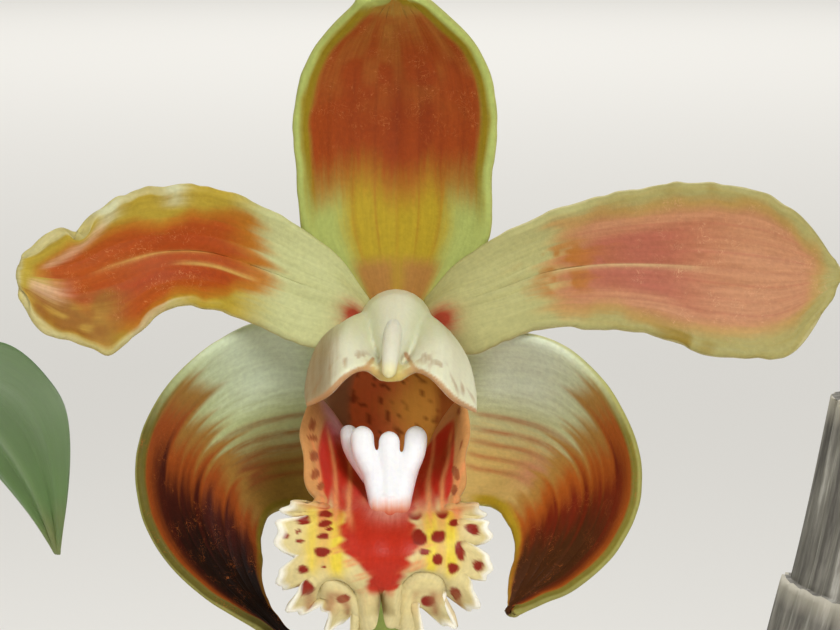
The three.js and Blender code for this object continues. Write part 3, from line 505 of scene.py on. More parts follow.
lateralSepalLeft = {
    "rails": {
        "left": [[-4.6, 5, -1.7], [-8, 2.5, -0.7], [-11.6, 1, -0.3], [-15.1, -0.5, -1.9], [-18.3, -1.5, -4.5],
                 [-20.8, -2.5, -8.2], [-21.8, -3, -12], [-21.4, -3.5, -16.2], [-19.2, -3, -20.5],
                 [-15.7, -2, -23.8], [-12.1, -0.5, -26], [-9.5, 1.3, -28.2]],
        "middle": [[-4.2, 9, -9], [-6.9, 9, -9], [-9.5, 8.6, -9.3], [-12.1, 7.5, -9.9], [-14.4, 6, -10.9],
                   [-16.2, 4.8, -12.4], [-17.1, 3.6, -14.5], [-17.1, 2.6, -17.3], [-16, 1.8, -20.4],
                   [-13.9, 1.2, -23.4], [-11.4, 1, -26.1], [-9.2, 1.8, -28.6]],
        "right": [[-4.3, 10, -15.7], [-6, 9.6, -16.3], [-7.8, 9, -16.7], [-9.2, 8.2, -16.8],
                  [-10.5, 7.2, -17], [-11.5, 6, -17.7], [-11.9, 5, -19.4], [-11.7, 4, -21.1],
                  [-11.7, 3, -22.7], [-11.2, 2.4, -24.4], [-10.1, 2.2, -26.2], [-8.6, 2.5, -27.9]],
    },
    "size": (36, 15), "veins": 8, "edge": 0.006, "bow": 0, "crinkle": 0.1, "lobes": [],
}
lateralSepalRight = {
    "rails": {
        "left": [[4.2, 5, -1.7], [7.3, 2.5, -1.6], [10.7, 1, -1.3], [14.1, -0.5, -2.4], [17.1, -1.5, -5],
                 [19.3, -2.5, -8.6], [20.4, -3, -12.4], [20, -3.5, -16.2], [18.2, -3, -19.8],
                 [15.1, -2, -22.7], [12, -0.8, -24.2], [10, 0.3, -25]],
        "middle": [[3.9, 9, -9], [6.8, 9, -9], [9.3, 8.6, -9.4], [11.8, 7.5, -10], [13.9, 6, -11],
                   [15.5, 4.8, -12.6], [16.2, 3.6, -14.6], [16.1, 2.6, -16.9], [15.1, 1.8, -19.3],
                   [13.4, 1.2, -21.7], [11.4, 0.8, -23.7], [9.8, 0.8, -25.4]],
        "right": [[3.9, 10, -15.7], [5.1, 9.6, -16.2], [6.2, 9, -16.4], [7.3, 8.2, -16.5], [8.3, 7.2, -16.7],
                  [9.2, 6, -17.3], [9.9, 5, -18.5], [10.2, 4, -20], [10, 3, -21.5],
                  [9.6, 2, -22.9], [9.5, 1.2, -24.2], [9.5, 1.1, -25.2]],
    },
    "size": (34, 14), "veins": 8, "edge": 0.006, "bow": 0, "crinkle": 0.1, "lobes": [],
}


# A tepal's surface: the rails, an uneven edge with its lobes (side, place along, width, amount),
# shallow furrows over its veins and, on a petal, a foot that bows forward
def tepalPoints(tepal, u, v, seed):
    side = np.where(v > 0, 50.0, 0.0)
    wander = tepal["edge"] * (uneven(u * 18 + side, 0.5, seed) + 0.8 * uneven(u * 41 + side, 3.5, seed))
    wander = wander * ramp(0, 0.3, u)
    for half, at, width, amount in tepal["lobes"]:
        wander = wander + amount * hump(u, at, width) * (v * half > 0)
    points = railed(tepal["rails"], u, v * (1 + wander * np.abs(v) ** 4))
    # the tip is round
    points = points + unit(np.gradient(points, axis=0)) * (0.3 * (1 - v * v) * ramp(0.92, 1, u))[..., None]
    normal = normals(points)
    forward = 1.0 if normal[..., 1].mean() < 0 else -1.0
    furrow = 0.5 - 0.5 * np.cos(np.pi * (v + 1) * tepal["veins"])
    depth = 0.035 * furrow ** 3 * (1 - np.abs(v) ** 4) + 0.12 * hump(v, 0, 0.08) * (1 - ramp(0.5, 0.9, u))
    depth = depth * ramp(0.1, 0.35, u) * (1 - ramp(0.85, 0.97, u))
    swell = 0.12 * uneven(u * 5, v * 3, seed + 3)
    bow = tepal["bow"] * (1 - v * v) * (1 - ramp(0.12, 0.42, u))
    crinkle = tepal["crinkle"] * uneven(u * 26 + side, v * 1.5, seed + 6)
    crinkle = crinkle * np.abs(v) ** 5 * ramp(0.3, 0.55, u)
    return points + normal * (forward * (swell - depth + bow) + crinkle)[..., None]


# how far in from a tepal's border a place lies, in mm
def inFromBorder(tepal, u, v):
    left, middle, right = (curveAt(tepal["rails"][side], u) for side in ("left", "middle", "right"))
    wide = np.where(v < 0, np.linalg.norm(middle - left, axis=-1), np.linalg.norm(middle - right, axis=-1))
    return np.minimum((1 - np.abs(v)) * wide, (1 - u) * tepal["size"][0])


# What the layers of each tepal's flesh are painted by. A mark is in shares of the tepal's length
# and half width, and inside and limit are in mm from its border

def dorsalLooks(u, v, seed):
    edge = np.abs(v)
    inside = inFromBorder(dorsalSepal, u, v) + 0.15 * uneven(u * 20, v * 6, seed + 2)
    low = 0.43 - 0.03 * hump(v, 0.03, 0.2) + 0.02 * hump(v, -0.33, 0.1) + 0.016 * hump(v, 0.36, 0.07)
    low = low + 0.012 * uneven(v * 11, u * 2, seed)
    blush = ramp(low - 0.06, low + 0.06, u) * ramp(0.9, 1.5, inside) * (1 - ramp(0.84, 0.89, u))
    mottle = uneven(u * 16, v * 6, seed + 5)
    line = hump(np.sin(np.pi * v * 4.2), 0, 0.22)
    rim = ramp(0.15, 0.55, inside) * (1 - ramp(0.9, 1.5, inside)) * ramp(0.25, 0.5, u)
    bands = hump(v, 0, 0.12) + hump(v, 0.3, 0.1) + 0.5 * hump(v, -0.35, 0.3)
    worn = 0.6 * ramp(0.74, 0.84, u) * hump(v, 0, 0.6) + 0.4 * ramp(0.52, 0.72, u) * ramp(-0.3, 0.4, mottle)
    return {
        "ochre": (1 - ramp(0.42, 0.74, edge + 0.05 * uneven(u * 12, v, seed))) * (1 - ramp(0.5, 0.65, u)),
        "stripe": 0.5 * line * (1 - ramp(0.5, 0.65, edge)) * ramp(0.08, 0.2, u) * (1 - ramp(0.38, 0.46, u)),
        "haze": 0.85 * ramp(0.6, 1.1, inside) * ramp(low - 0.13, low - 0.02, u),
        "rim": rim * (1 - 0.8 * ramp(0.85, 0.92, u) * (v < 0.1)),
        "blush": blush,
        "deep": 0.8 * blush * hump(u, 0.57, 0.15) * bands,
        "vein": 0.35 * blush * line * (1 - ramp(0.62, 0.8, u)),
        "tan": blush * worn,
        "flush": (1 - ramp(0.1, 0.16, u)) * (1 - ramp(0.5, 0.75, edge)) * (1 - 0.5 * hump(v, 0, 0.12)),
        "scratch": blush * ramp(0.4, 0.62, u),
    }


def leftPetalLooks(u, v, seed):
    inside = inFromBorder(petalLeft, u, v)
    side = np.sign(v) * 4
    inward = 0.03 * uneven(v * 8, u * 3, seed)
    above = 1.8 + 1.2 * hump(u, 0.62, 0.14)
    below = 0.7 + 2.6 * (1 - ramp(0.34, 0.56, u)) + 1.8 * ramp(0.66, 0.8, u)
    limit = np.where(v < 0, above, below) + 0.45 * uneven(u * 24, side, seed + 1)
    blush = ramp(0.34 + inward, 0.46 + inward, u) * ramp(limit - 0.3, limit + 1.0, inside)
    mottle = uneven(u * 18, v * 6, seed + 3)
    streak = hump(v, 0.24, 0.04) * ramp(0.34, 0.4, u) * (1 - ramp(0.52, 0.62, u))
    # the pale line along the midrib, a painted highlight; it is painted with the streak layer
    middle = hump(v, 0.02, 0.05) * ramp(0.45, 0.55, u) * (1 - ramp(0.7, 0.85, u))
    slant = hump(v, -0.74 + 2.6 * (u - 0.8), 0.11) * ramp(0.76, 0.8, u) * (1 - ramp(0.93, 0.96, u))
    light = hump(v, 0.3, 0.2) * ramp(0.84, 0.94, u) * (1 - ramp(0.96, 0.985, u))
    blotches = ramp(-0.5, 0.6, uneven(u * 34, v * 10, seed + 9))
    return {
        "rim": ramp(0.3, 0.45, u) * (1 - ramp(limit, limit + 1.4, inside)),
        "halo": ramp(0.29 + inward, 0.37 + inward, u) * ramp(limit - 1.1, limit - 0.1, inside),
        "blush": blush,
        "amber": ramp(0.68, 0.8, u) * ramp(0.3, 0.6, v + 0.3 * mottle) * ramp(0.1, 0.6, inside),
        "straw": 0.55 * ramp(0.72, 0.84, u) * ramp(0.35, 0.7, v) * blotches,
        "deep": blush * (0.6 * hump(u, 0.57, 0.17) * hump(v, -0.12, 0.4) + 0.6 * hump(v, 0.42, 0.12)),
        "vein": 0.3 * blush * hump(np.sin(np.pi * v * 4.5), 0, 0.25),
        "streak": 0.8 * streak + 0.55 * middle,
        "pale": 0.55 * slant + 0.75 * light,
        "speck": 1.3 * hump(v, 0.3, 0.35) * hump(u, 0.085, 0.05),
        "white": 0.5 * (1 - ramp(0.15, 0.4, inside)) * ramp(0.5, 0.62, u)
        + 0.7 * ramp(0.66, 0.82, -v) * (hump(u, 0.585, 0.03) + hump(u, 0.775, 0.03)),
        "scratch": blush * ramp(0.4, 0.6, u),
    }


def rightPetalLooks(u, v, seed):
    inside = inFromBorder(petalRight, u, v)
    side = np.sign(v) * 4
    inward = 0.04 * uneven(v * 7, u * 4, seed)
    limit = 1.6 + 0.5 * ramp(0.6, 0.8, u) * (v > 0) + 0.45 * uneven(u * 26, side, seed + 1)
    blush = ramp(0.37 + inward, 0.48 + inward, u) * ramp(limit - 0.4, limit + 1.2, inside)
    blush = blush * (1 - ramp(0.93, 0.975, u))
    halo = ramp(0.34 + inward, 0.42 + inward, u) * ramp(limit - 1.3, limit - 0.2, inside)
    blot = uneven(u * 24, v * 5, seed + 2) + 0.5 * uneven(u * 60, v * 14, seed + 7)
    flecks = ramp(-0.3, 0.5, blot) * hump(u, 0.42, 0.08) * (1 - ramp(0.3, 0.6, np.abs(v)))
    worn = np.where(v > 0, hump(u, 0.71, 0.1), hump(u, 0.69, 0.06))
    worn = worn * ramp(-1.0, 0.1, uneven(u * 30, side, seed + 4))
    margin = ramp(0.4, 0.55, u) * (1 - ramp(1.2, 2.4, inside))
    return {
        "halo": halo * (1 - ramp(0.95, 0.985, u)),
        "blush": blush,
        "deep": 0.85 * blush * hump(u, 0.57, 0.15) * ramp(2.4, 4, inside),
        "tan": 0.8 * blush * np.maximum(ramp(0.62, 0.82, u), 1 - ramp(2.4, 4.2, inside)),
        "vein": 0.3 * blush * hump(np.sin(np.pi * v * 5.5), 0, 0.22),
        "fleck": 0.9 * flecks,
        # the pale line along the midrib is a painted highlight
        "streak": 0.7 * hump(v, 0.03, 0.045) * ramp(0.36, 0.42, u) * (1 - ramp(0.6, 0.78, u)),
        "speck": 1.3 * hump(v, 0.3, 0.35) * hump(u, 0.085, 0.05),
        "rim": np.maximum(0.95 * worn * (1 - ramp(0.6, 1.7, inside)), 0.36 * margin),
        "scratch": ramp(0.5, 0.6, u) * ramp(0.6, 1.4, inside),
    }


def lateralLooks(u, v, seed):
    edge = np.abs(v)
    finger = 0.05 * uneven(v * 12, u * 2, seed) + 0.035 * uneven(v * 28, u * 3, seed + 1)
    start = 0.43 + 0.035 * (v + 1) + finger
    blush = ramp(start - 0.05, start + 0.05, u)
    bent = v + 0.03 * uneven(u * 7, 1, seed)
    arc = sum(hump(bent, at, 0.035) for at in (-0.12, 0.06, 0.22, 0.4, 0.56))
    return {
        # ochre-brown over the inner half, toward the lip: partly the sepal's own colour, partly painted shade
        # in the hollow beside the lip
        "ochre": ramp(-0.3, 0.45, v),
        # paler cream-green on the upper outer bulge near the foot: partly the sepal's own colour, partly
        # painted light where that bulge catches the lamp
        "glow": (1 - ramp(0.22, 0.42, u)) * (1 - ramp(-0.5, -0.1, v)) * ramp(0.0, 0.15, u),
        "arc": 0.6 * arc * ramp(0.04, 0.14, u) * (1 - ramp(0.5, 0.6, u)),
        "peach": hump(u, 0.4, 0.09) * hump(v, 0.42, 0.22),
        "halo": ramp(start - 0.12, start - 0.04, u) * (1 - ramp(0.95, 0.985, edge)),
        "blush": blush * (1 - ramp(0.94, 0.98, edge)),
        "deep": ramp(start + 0.03, start + 0.15, u) * (1 - ramp(0.68, 0.96, edge)),
        # darkest toward the tip: partly deeper pigment, partly painted shade on the low part of the sepal,
        # which the light from above reaches least
        "dark": ramp(0.58, 0.78, u + finger) * (1 - ramp(0.5, 0.95, -v)) * (1 - ramp(0.85, 0.97, v)),
        "rim": ramp(0.925, 0.97, -v) * ramp(0.3, 0.5, u),
        "bright": ramp(0.86, 0.94, v) * ramp(0.15, 0.3, u) * (1 - 0.6 * ramp(0.6, 0.75, u)),
        "scratch": blush,
    }


# each flesh's last pair gives its painted glints: where they show, and their colour
flesh = {
    "dorsal": fleshMaterial(
        "waxy sepal, brown-orange over yellow", "#a9b362", "#b5b468",
        [("ochre", "#ae9420"), ("stripe", "#a06a18"), ("haze", "#a0661c"), ("rim", "#8f7812"),
         ("blush", "#963f0c"), ("deep", "#823006"), ("vein", "#7c3009"), ("tan", "#a06626"),
         ("flush", "#a87638")], ("scratch", "#c07840")),
    "left": fleshMaterial(
        "waxy petal, orange-red over cream", "#bfc188", "#c6b974",
        [("rim", "#b39a34"), ("halo", "#b0701c"), ("blush", "#a94d0f"), ("deep", "#a03a0a"),
         ("amber", "#925e14"), ("straw", "#bd9a3c"), ("vein", "#933608"), ("streak", "#cda653"),
         ("pale", "#d8b08e"), ("white", "#c9c79c"), ("speck", "#a8442c")], ("scratch", "#d08c50")),
    # the right petal's pinker, paler palette is partly its own colour and partly painted sheen, where its
    # broad face is turned to the light
    "right": fleshMaterial(
        "waxy petal, salmon over cream, partly painted sheen", "#b0ac72", "#c2b884",
        [("halo", "#bb955a"), ("blush", "#b06c4a"), ("deep", "#aa604c"), ("tan", "#bf8a64"),
         ("vein", "#a65844"), ("fleck", "#aa6a24"), ("streak", "#c8ae78"), ("speck", "#a8442c"),
         ("rim", "#907628")], ("scratch", "#d0a078")),
    # the left lateral sepal has the right one's pattern in darker colours: partly deeper pigment, partly
    # painted shade where the lip shades it; its near-black is mostly painted shadow
    "lateralLeft": fleshMaterial(
        "waxy sepal, dark red over green-cream", "#b6c088", "#a8a45c",
        [("ochre", "#8a6c2c"), ("glow", "#cbd7b8"), ("arc", "#824418"), ("peach", "#8a4a24"),
         ("halo", "#9a7030"), ("blush", "#964612"), ("deep", "#3f0d02"), ("dark", "#160501"),
         ("rim", "#5f5618"), ("bright", "#7c6c1c")], ("scratch", "#a85a24")),
    "lateralRight": fleshMaterial(
        "waxy sepal, red over yellow-cream", "#ccd09c", "#a8a45c",
        [("ochre", "#d0b068"), ("glow", "#dfe7cc"), ("arc", "#a8502c"), ("peach", "#c88a66"),
         ("halo", "#b48640"), ("blush", "#b25a1a"), ("deep", "#782208"), ("dark", "#4c280e"),
         ("rim", "#7c7226"), ("bright", "#b89a24")], ("scratch", "#b06030")),
}
tepals = [
    ("dorsal_sepal", dorsalSepal, dorsalLooks, "dorsal", "sepal"),
    ("petal_left", petalLeft, leftPetalLooks, "left", "petal"),
    ("petal_right", petalRight, rightPetalLooks, "right", "petal"),
    ("lateral_sepal_left", lateralSepalLeft, lateralLooks, "lateralLeft", "sepal"),
    ("lateral_sepal_right", lateralSepalRight, lateralLooks, "lateralRight", "sepal"),
]


def makeTepal(name, tepal, looks, material, pose, seed, rows, columns):
    u, v, half = sheetGrid(rows, columns, 1.0, 0.0175, 0.035)
    points = tepalPoints(tepal, u, v, seed)
    spread = (u * tepal["size"][0], v * tepal["size"][1] / 2)
    return sheetPiece(name, points, half, looks(u, v, seed), material, pose, spread)


grids = {
    "heroTepal": ((130, 68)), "tepal": ((40, 24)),
    "heroLip": ((250, 90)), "lip": ((100, 40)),
    "leaf": ((70, 36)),
}
for part, tepal, looks, material, slot in tepals:
    piece = makeTepal("bloom1_" + part, tepal, looks, flesh[material], heroPose, 7, *grids["heroTepal"])
    finish(piece, "bloom_1_" + part)
print("the first bloom's tepals are made")

# The lip: a trough with two side lobes that stand up, then a crisped middle lobe

lip = {
    "rails": {
        "left": [[-3.4, 6.6, -12.4], [-5.4, 4.5, -9.8], [-7.8, 0.5, -7.9], [-8.4, -4, -10.3],
                 [-7.8, -7.2, -13.1], [-6.8, -9.5, -15.2], [-8.7, -10.5, -15.9], [-9.2, -11.5, -18.6],
                 [-8.9, -11.2, -22.1], [-6.9, -10, -24.5], [-4.9, -8.7, -25.7], [-3.2, -8.6, -25.3]],
        "middle": [[-0.5, 7.2, -14.3], [-0.5, 4, -14.4], [-0.4, 0.5, -14.7], [-0.5, -3, -15.1],
                   [-0.5, -6.5, -15.4], [-0.5, -9, -16], [-0.5, -10.8, -16.9], [-0.5, -12.2, -18.1],
                   [-0.6, -12.8, -19.5], [-0.7, -12.3, -20.8], [-0.9, -11.5, -21.9], [-1.1, -10.6, -22.8]],
        "right": [[2.4, 6.6, -12.4], [4.3, 4.5, -9.8], [6.6, 0.5, -7.9], [6.4, -4, -10.3], [5.9, -7.2, -13.1],
                  [5.4, -9.5, -15.2], [6.7, -10.5, -16.3], [7.1, -11.5, -18.6], [6.9, -11.2, -21.9],
                  [5, -10, -24.1], [2.8, -8.7, -25.6], [0.9, -8.6, -25.3]],
    },
    "size": (38, 17), "thickness": 0.6,
    # where the crisped middle lobe starts, its waves, and how far they reach out, fold and lean
    "lobeFrom": 0.45, "waves": 6.4, "out": 0.85, "fold": 0.5, "lean": 0.2,
}


# how far along its waves the frill is, quicker and slower by turns so that no two teeth match
def frillPhase(u, v, seed):
    side = np.where(v > 0, 1.9, 0.0)
    along = (u - lip["lobeFrom"]) / (1 - lip["lobeFrom"])
    return 2 * np.pi * (lip["waves"] * along + 0.28 * uneven(along * 5, side * 3, seed)) + side


# how far places lie from a line, as the eye sees the lip; both in x and z of the bloom's frame
def besideLine(x, z, line):
    marks = curveAt(line, np.linspace(0, 1, 30))
    return np.min(np.hypot(x[..., None] - marks[:, 0], z[..., None] - marks[:, 1]), axis=-1)


# at its end the lip's rim doubles forward over two arches and runs down into two legs
arches = [
    [[-3.0, -24.5], [-3.1, -23.2], [-4.0, -21.9], [-5.2, -21.4], [-6.1, -21.9], [-6.3, -23.4]],
    [[0.2, -24.5], [0.3, -22.4], [1.4, -21.0], [2.7, -20.8], [3.8, -21.3], [4.1, -22.5], [4.3, -23.9]],
]


def lipPoints(u, v, seed):
    points = railed(lip["rails"], u, v)
    along = unit(np.gradient(points, axis=0))
    across = unit(np.gradient(points, axis=1))
    normal = unit(np.cross(along, across))
    edge, side = np.abs(v), np.sign(v)
    lobe = ramp(lip["lobeFrom"] - 0.01, lip["lobeFrom"] + 0.04, u)
    # the crisped edge: teeth with round heads and narrow gaps, larger towards the end
    crisp = lobe * ramp(0.66, 1, edge) ** 1.3 * (1 - 0.85 * ramp(0.92, 0.98, u))
    phase = frillPhase(u, v, seed)
    tall = (1 + 0.4 * uneven(u * 16, side * 2 + 3, seed + 1)) * (1 + 0.5 * ramp(0.72, 0.86, u))
    out = crisp * lip["out"] * tall * (np.tanh(2.2 * np.cos(phase) + 0.7) - 0.2)
    out = out + 0.2 * crisp * np.cos(3.3 * phase + 1) - 2.0 * hump(u, 0.908, 0.03) * ramp(0.5, 1, edge)
    folded = crisp * lip["fold"] * tall * (np.sin(phase + 0.6) - 0.8 * ramp(0.82, 1, edge) * np.cos(phase))
    leaning = crisp * lip["lean"] * np.sin(phase)
    arched = np.minimum(*(besideLine(points[..., 0], points[..., 2], line) for line in arches))
    folded = folded + 0.65 * hump(arched, 0, 0.45) * ramp(0.7, 0.8, u)
    legs = 2.4 * ramp(0.87, 1, u) * ramp(0.06, 0.28, np.abs(v + 0.07))
    # the side lobes reach up under the hood
    tuck = ramp(0.6, 1, edge) * hump(u, 0.2, 0.12)
    wavy = np.sin(u * 52) * ramp(0.1, 0.25, u)
    soft = 0.1 * uneven(u * 9, v * 4, seed + 2) + 0.25 * (1 - lobe) * ramp(0.8, 1, edge) * wavy
    ribs = 0.07 * np.cos(2 * np.pi * v * 3.5) * ramp(0.15, 0.3, u) * (1 - ramp(0.6, 0.8, u)) * (1 - edge)
    points = points + across * (side * out)[..., None] + along * leaning[..., None]
    points = points - normal * (folded + soft + ribs)[..., None]
    points[..., 2] += 1.5 * tuck - legs
    points[..., 0] -= 0.7 * tuck * side
    return points


# places of the spots in the bloom's own frame, as the eye sees the lip: x, z, width, height in mm
lipSpots = [
    (-5.7, -15.4, 1.0, 0.7), (-5.7, -16.35, 1.1, 0.5), (-5.75, -17.1, 1.1, 0.5), (-5.5, -17.55, 0.7, 0.35),
    (-5.8, -18.0, 1.0, 0.4), (-6.0, -19.05, 1.3, 0.7), (-7.6, -16.5, 1.1, 0.55), (-7.5, -20.5, 1.0, 0.65),
    (-7.4, -21.85, 1.15, 0.9), (-8.0, -17.5, 0.4, 0.3), (-6.7, -23.7, 0.8, 1.2), (-9.0, -17.7, 0.5, 0.5),
    (-7.8, -18.2, 0.7, 0.25), (-4.5, -22.8, 1.0, 0.8), (-3.1, -24.1, 0.6, 0.45), (-5.8, -20.2, 0.4, 0.25),
    (1.6, -16.2, 1.3, 1.3), (3.7, -16.1, 1.1, 1.1), (3.8, -14.2, 0.9, 1.3), (1.95, -18.05, 1.3, 1.1),
    (3.4, -17.9, 1.15, 0.95), (2.2, -19.1, 0.8, 0.6), (3.3, -19.7, 0.85, 0.7), (4.7, -17.0, 0.8, 0.6),
    (6.3, -17.35, 1.1, 0.95), (5.1, -19.1, 0.85, 1.4), (4.5, -20.35, 0.85, 0.85), (6.6, -20.2, 0.95, 0.85),
    (4.95, -22.5, 0.75, 1.3), (4.95, -23.7, 0.6, 0.7), (0.1, -24.5, 0.6, 0.5), (2.7, -23.0, 1.3, 0.9),
]
lobeSpots = [
    (-7.45, -9.2, 0.55, 0.75), (-7.3, -10.2, 0.85, 0.4), (-7.2, -11.8, 0.75, 0.65), (-6.8, -13.1, 0.6, 0.8),
    (-6.4, -14.2, 0.5, 0.6), (4.5, -7.3, 0.35, 0.7), (5.4, -7.1, 0.7, 0.5), (5.8, -8.0, 0.6, 0.6),
    (6.1, -9.6, 0.45, 0.75), (5.7, -11.4, 0.4, 1.5), (5.3, -13.1, 0.5, 1.1), (4.9, -14.5, 0.45, 0.9),
]


# a field of oval spots, each a little off its place and size so that no two blooms match
def spotted(x, z, spots, seed):
    draw = np.random.default_rng(seed)
    x, z = x + 0.12 * uneven(x * 1.7, z * 1.7, seed), z + 0.12 * uneven(z * 1.7, x * 1.7, seed + 1)
    field = np.zeros_like(x)
    for left, up, width, height in spots:
        left, up = left + draw.uniform(-0.12, 0.12), up + draw.uniform(-0.1, 0.1)
        away = np.hypot((x - left) / width, (z - up) / height) * 1.8
        field = np.maximum(field, 1 - ramp(0.75, 1.1, away))
    return field


def lipLooks(u, v, points, seed):
    edge = np.abs(v)
    x, down = points[..., 0], -points[..., 2]
    off = x + 0.55
    side = np.sign(v) * 2 + 3
    lobe = ramp(0.47, 0.52, u)
    saw = 0.5 * uneven(down * 2.2, side, seed) + 0.3 * uneven(down * 0.9, side, seed + 8)
    reach = np.where(v < 0, 3.6, 2.2) * (1 - 0.7 * ramp(18.5, 22.5, down)) + saw
    drift = 0.25 * uneven(down * 0.5, side, seed + 3)
    # three pale veins run down each side lobe on to the middle lobe, with red between them
    spread = np.interp(down, [8, 12, 15.5, 18], [1.35, 1.15, 1, 1])
    thin = np.interp(down, [9, 15, 18], [0.12, 0.2, 0.3])
    lines = sum(hump((np.abs(off) + drift - at * spread) / thin, 0, 1) for at in (3.2, 4.3, 5.4))
    red = 1 - ramp(14.5, 17.5, down + 1.2 * uneven(x * 2.2, down * 0.7, seed))
    red = red * (1 - ramp(0.84, 0.9, edge) * (1 - lobe))
    rays = hump(np.sin(down * 5 + off * 1.5 + side), 0.6, 0.5)
    rays = rays * hump(np.abs(off), reach + 0.5, 0.7) * hump(down, 19.6, 2.4)
    ring = spotted(x, -down, lobeSpots, seed + 6) * (1 - lobe)
    leftGold = 0.6 * hump(off, -6.3, 0.6) + hump(off, -4.2, 0.65)
    rightGold = hump(off, 3.4, 0.45) + hump(off, 5.0, 0.5)
    leftWarm, rightWarm = hump(off, -5.2, 1.3), hump(off, 4.0, 1.5)
    spots = np.maximum(spotted(x, -down, lipSpots, seed + 5) * lobe, ring)
    within = 1 - ramp(reach - 0.35, reach + 0.35, np.abs(off))
    lined = 0.9 * lines * ramp(9, 10.5, down) * (1 - ramp(16, 18, down)) * (edge > 0.3)
    arched = np.minimum(*(besideLine(x, -down, line) for line in arches))
    return {
        "warm": 0.8 * lobe * np.where(v < 0, leftWarm, rightWarm) * (1 - ramp(19.5, 21, down)),
        "yellow": 1.25 * lobe * np.where(v < 0, leftGold, rightGold) * (1 - ramp(20, 21.6, down)),
        "crimson": red * (1 - ramp(5.4, 6.2, np.abs(off)) * lobe),
        "disc": within * (1 - ramp(22, 23, down)) * ramp(14.5, 16, down),
        "peach": (1 - lobe) * ramp(0.82, 0.88, edge),
        "orange": lined + 0.8 * rays,
        "lilac": hump(u, 0.14, 0.045) * hump(v, -0.88, 0.12),
        "milk": 0.7 * hump(off, 0, 1.5) * hump(down, 15.9, 0.9),
        "spot": spots * (1 - ramp(0.94, 0.965, edge)),
        "rimLine": ramp(0.93, 0.955, edge) * ramp(0.49, 0.53, u),
        "arch": np.maximum(1 - ramp(0.4, 0.6, arched), ramp(24, 24.6, down)) * ramp(0.7, 0.8, u),
        "hollow": 0.7 * hump(arched, 1.0, 0.4) * ramp(21.8, 22.6, down) * ramp(1.6, 2.4, np.abs(off)),
        "ringHeart": ramp(0.7, 0.95, ring) * 0.35,
        # dark olive at the lip's end between the legs: painted shade in the notch between them
        "olive": ramp(0.9, 0.97, u) * hump(v, 0, 0.3),
    }


lipMaterial = fleshMaterial(
    "waxy lip, red on yellow with dark spots", "#dccb90", "#cdb47c",
    [("warm", "#dca650"), ("yellow", "#e6cc44"), ("crimson", "#c22c1c"), ("disc", "#ba2c16"),
     ("peach", "#cf9458"), ("orange", "#e2925a"), ("spot", "#8c2412"), ("lilac", "#f2cbe2"),
     ("milk", "#eab49c"), ("ringHeart", "#c08850"), ("olive", "#6a5220"), ("hollow", "#a86a44"),
     ("arch", "#d6c792"), ("rimLine", "#faf4e2")],
    patchy=0.08, scatter=0.1, roughness=0.42, ragged=1.6)


def makeLip(name, pose, seed, rows, columns):
    u, v, half = sheetGrid(rows, columns, lip["thickness"], 0.012, 0.03)
    points = lipPoints(u, v, seed)
    spread = (u * lip["size"][0], v * lip["size"][1] / 2)
    return sheetPiece(name, points, half, lipLooks(u, v, points, seed), lipMaterial, pose, spread)


# Column: a hood with two wings, the ridge over it, and the hollow foot behind the mouth

hood = {
    "rails": {
        "left": [[-2.8, 3, -0.2], [-4.6, -0.5, -0.7], [-6.1, -3, -1.6], [-7.1, -5.5, -3.3],
                 [-7.6, -7.5, -5.6], [-7.5, -9, -7.4]],
        "middle": [[-0.1, 3, 0.2], [-0.1, -0.4, -0.6], [-0.2, -3.4, -1.8], [-0.3, -6.4, -3.1],
                   [-0.4, -8.8, -4], [-0.5, -10.8, -4.8]],
        "right": [[2.7, 3, -0.2], [3.7, -0.5, -0.7], [5, -3, -2], [6.1, -5.5, -3.9], [6.6, -7.5, -6],
                  [6.7, -9, -7.9]],
    },
    "thickness": 0.9, "skin": (0.19, 6), "farSkin": (0.36, 3),
}
foot = {
    "rails": {
        "left": [[-2.9, 2, -1.5], [-6.2, 2.6, -5.2], [-6.3, 4.4, -9.6], [-4, 8.2, -14]],
        "middle": [[-0.2, 3, -1], [-0.3, 6.8, -5.4], [-0.4, 8.5, -9.9], [-0.5, 9, -14]],
        "right": [[2.6, 2, -1.5], [5.5, 2.6, -5.2], [5.6, 4.4, -9.6], [3, 8.2, -14]],
    },
    "thickness": 1.2, "size": (14, 9),
}
# the ridge swells to a dome and runs out in a narrow tongue
ridge = {
    "path": [[-0.1, 5, -1.2], [-0.1, 1, -0.7], [-0.1, -2, -0.9], [-0.2, -4.5, -1.5], [-0.3, -7, -2.4],
             [-0.45, -9, -3.4], [-0.55, -10.9, -4.5]],
    "radii": [3.2, 3.2, 3.0, 2.1, 1.3, 0.8, 0.55],
}
anther = {
    "path": [[-0.1, -3.4, -0.3], [-0.25, -6, -1.0], [-0.4, -8.6, -2.35], [-0.5, -10.4, -3.6],
             [-0.6, -11.4, -4.8]],
    "radius": lambda u, angle: (0.95 - 0.4 * u) * roundedOff(u, 0.1),
}


# Column flesh: dense and waxy, cream with more light in it than the tepals have
def creamMaterial(name, ground, layers, scatter, behind=None):
    return fleshMaterial(name, ground, behind or ground, layers, patchy=0.04, scatter=scatter,
                         roughness=0.4, scatterScale=1.6)


columnMaterial = creamMaterial(
    "waxy cream column", "#dedec0",
    [("green", "#c6cc9a"), ("shade", "#94794e"), ("brown", "#a07a50"), ("line", "#b98a5c"),
     ("tongue", "#d0be6a")], 0.3)
throatMaterial = creamMaterial(
    "column foot, orange-brown in the throat", "#dfa446",
    [("left", "#e2844a"), ("dot", "#7a3412"), ("wall", "#a5805c"), ("dusk", "#a8602a")], 0.15, "#c4ca9c")
antherMaterial = creamMaterial("anther cap, ivory", "#e6e4cc", [("tip", "#e0d8a4")], 0.35)
callusMaterial = creamMaterial(
    "callus, fleshy white", "#fbfcff", [("peach", "#eba07a"), ("red", "#c23a24")], 0.16)

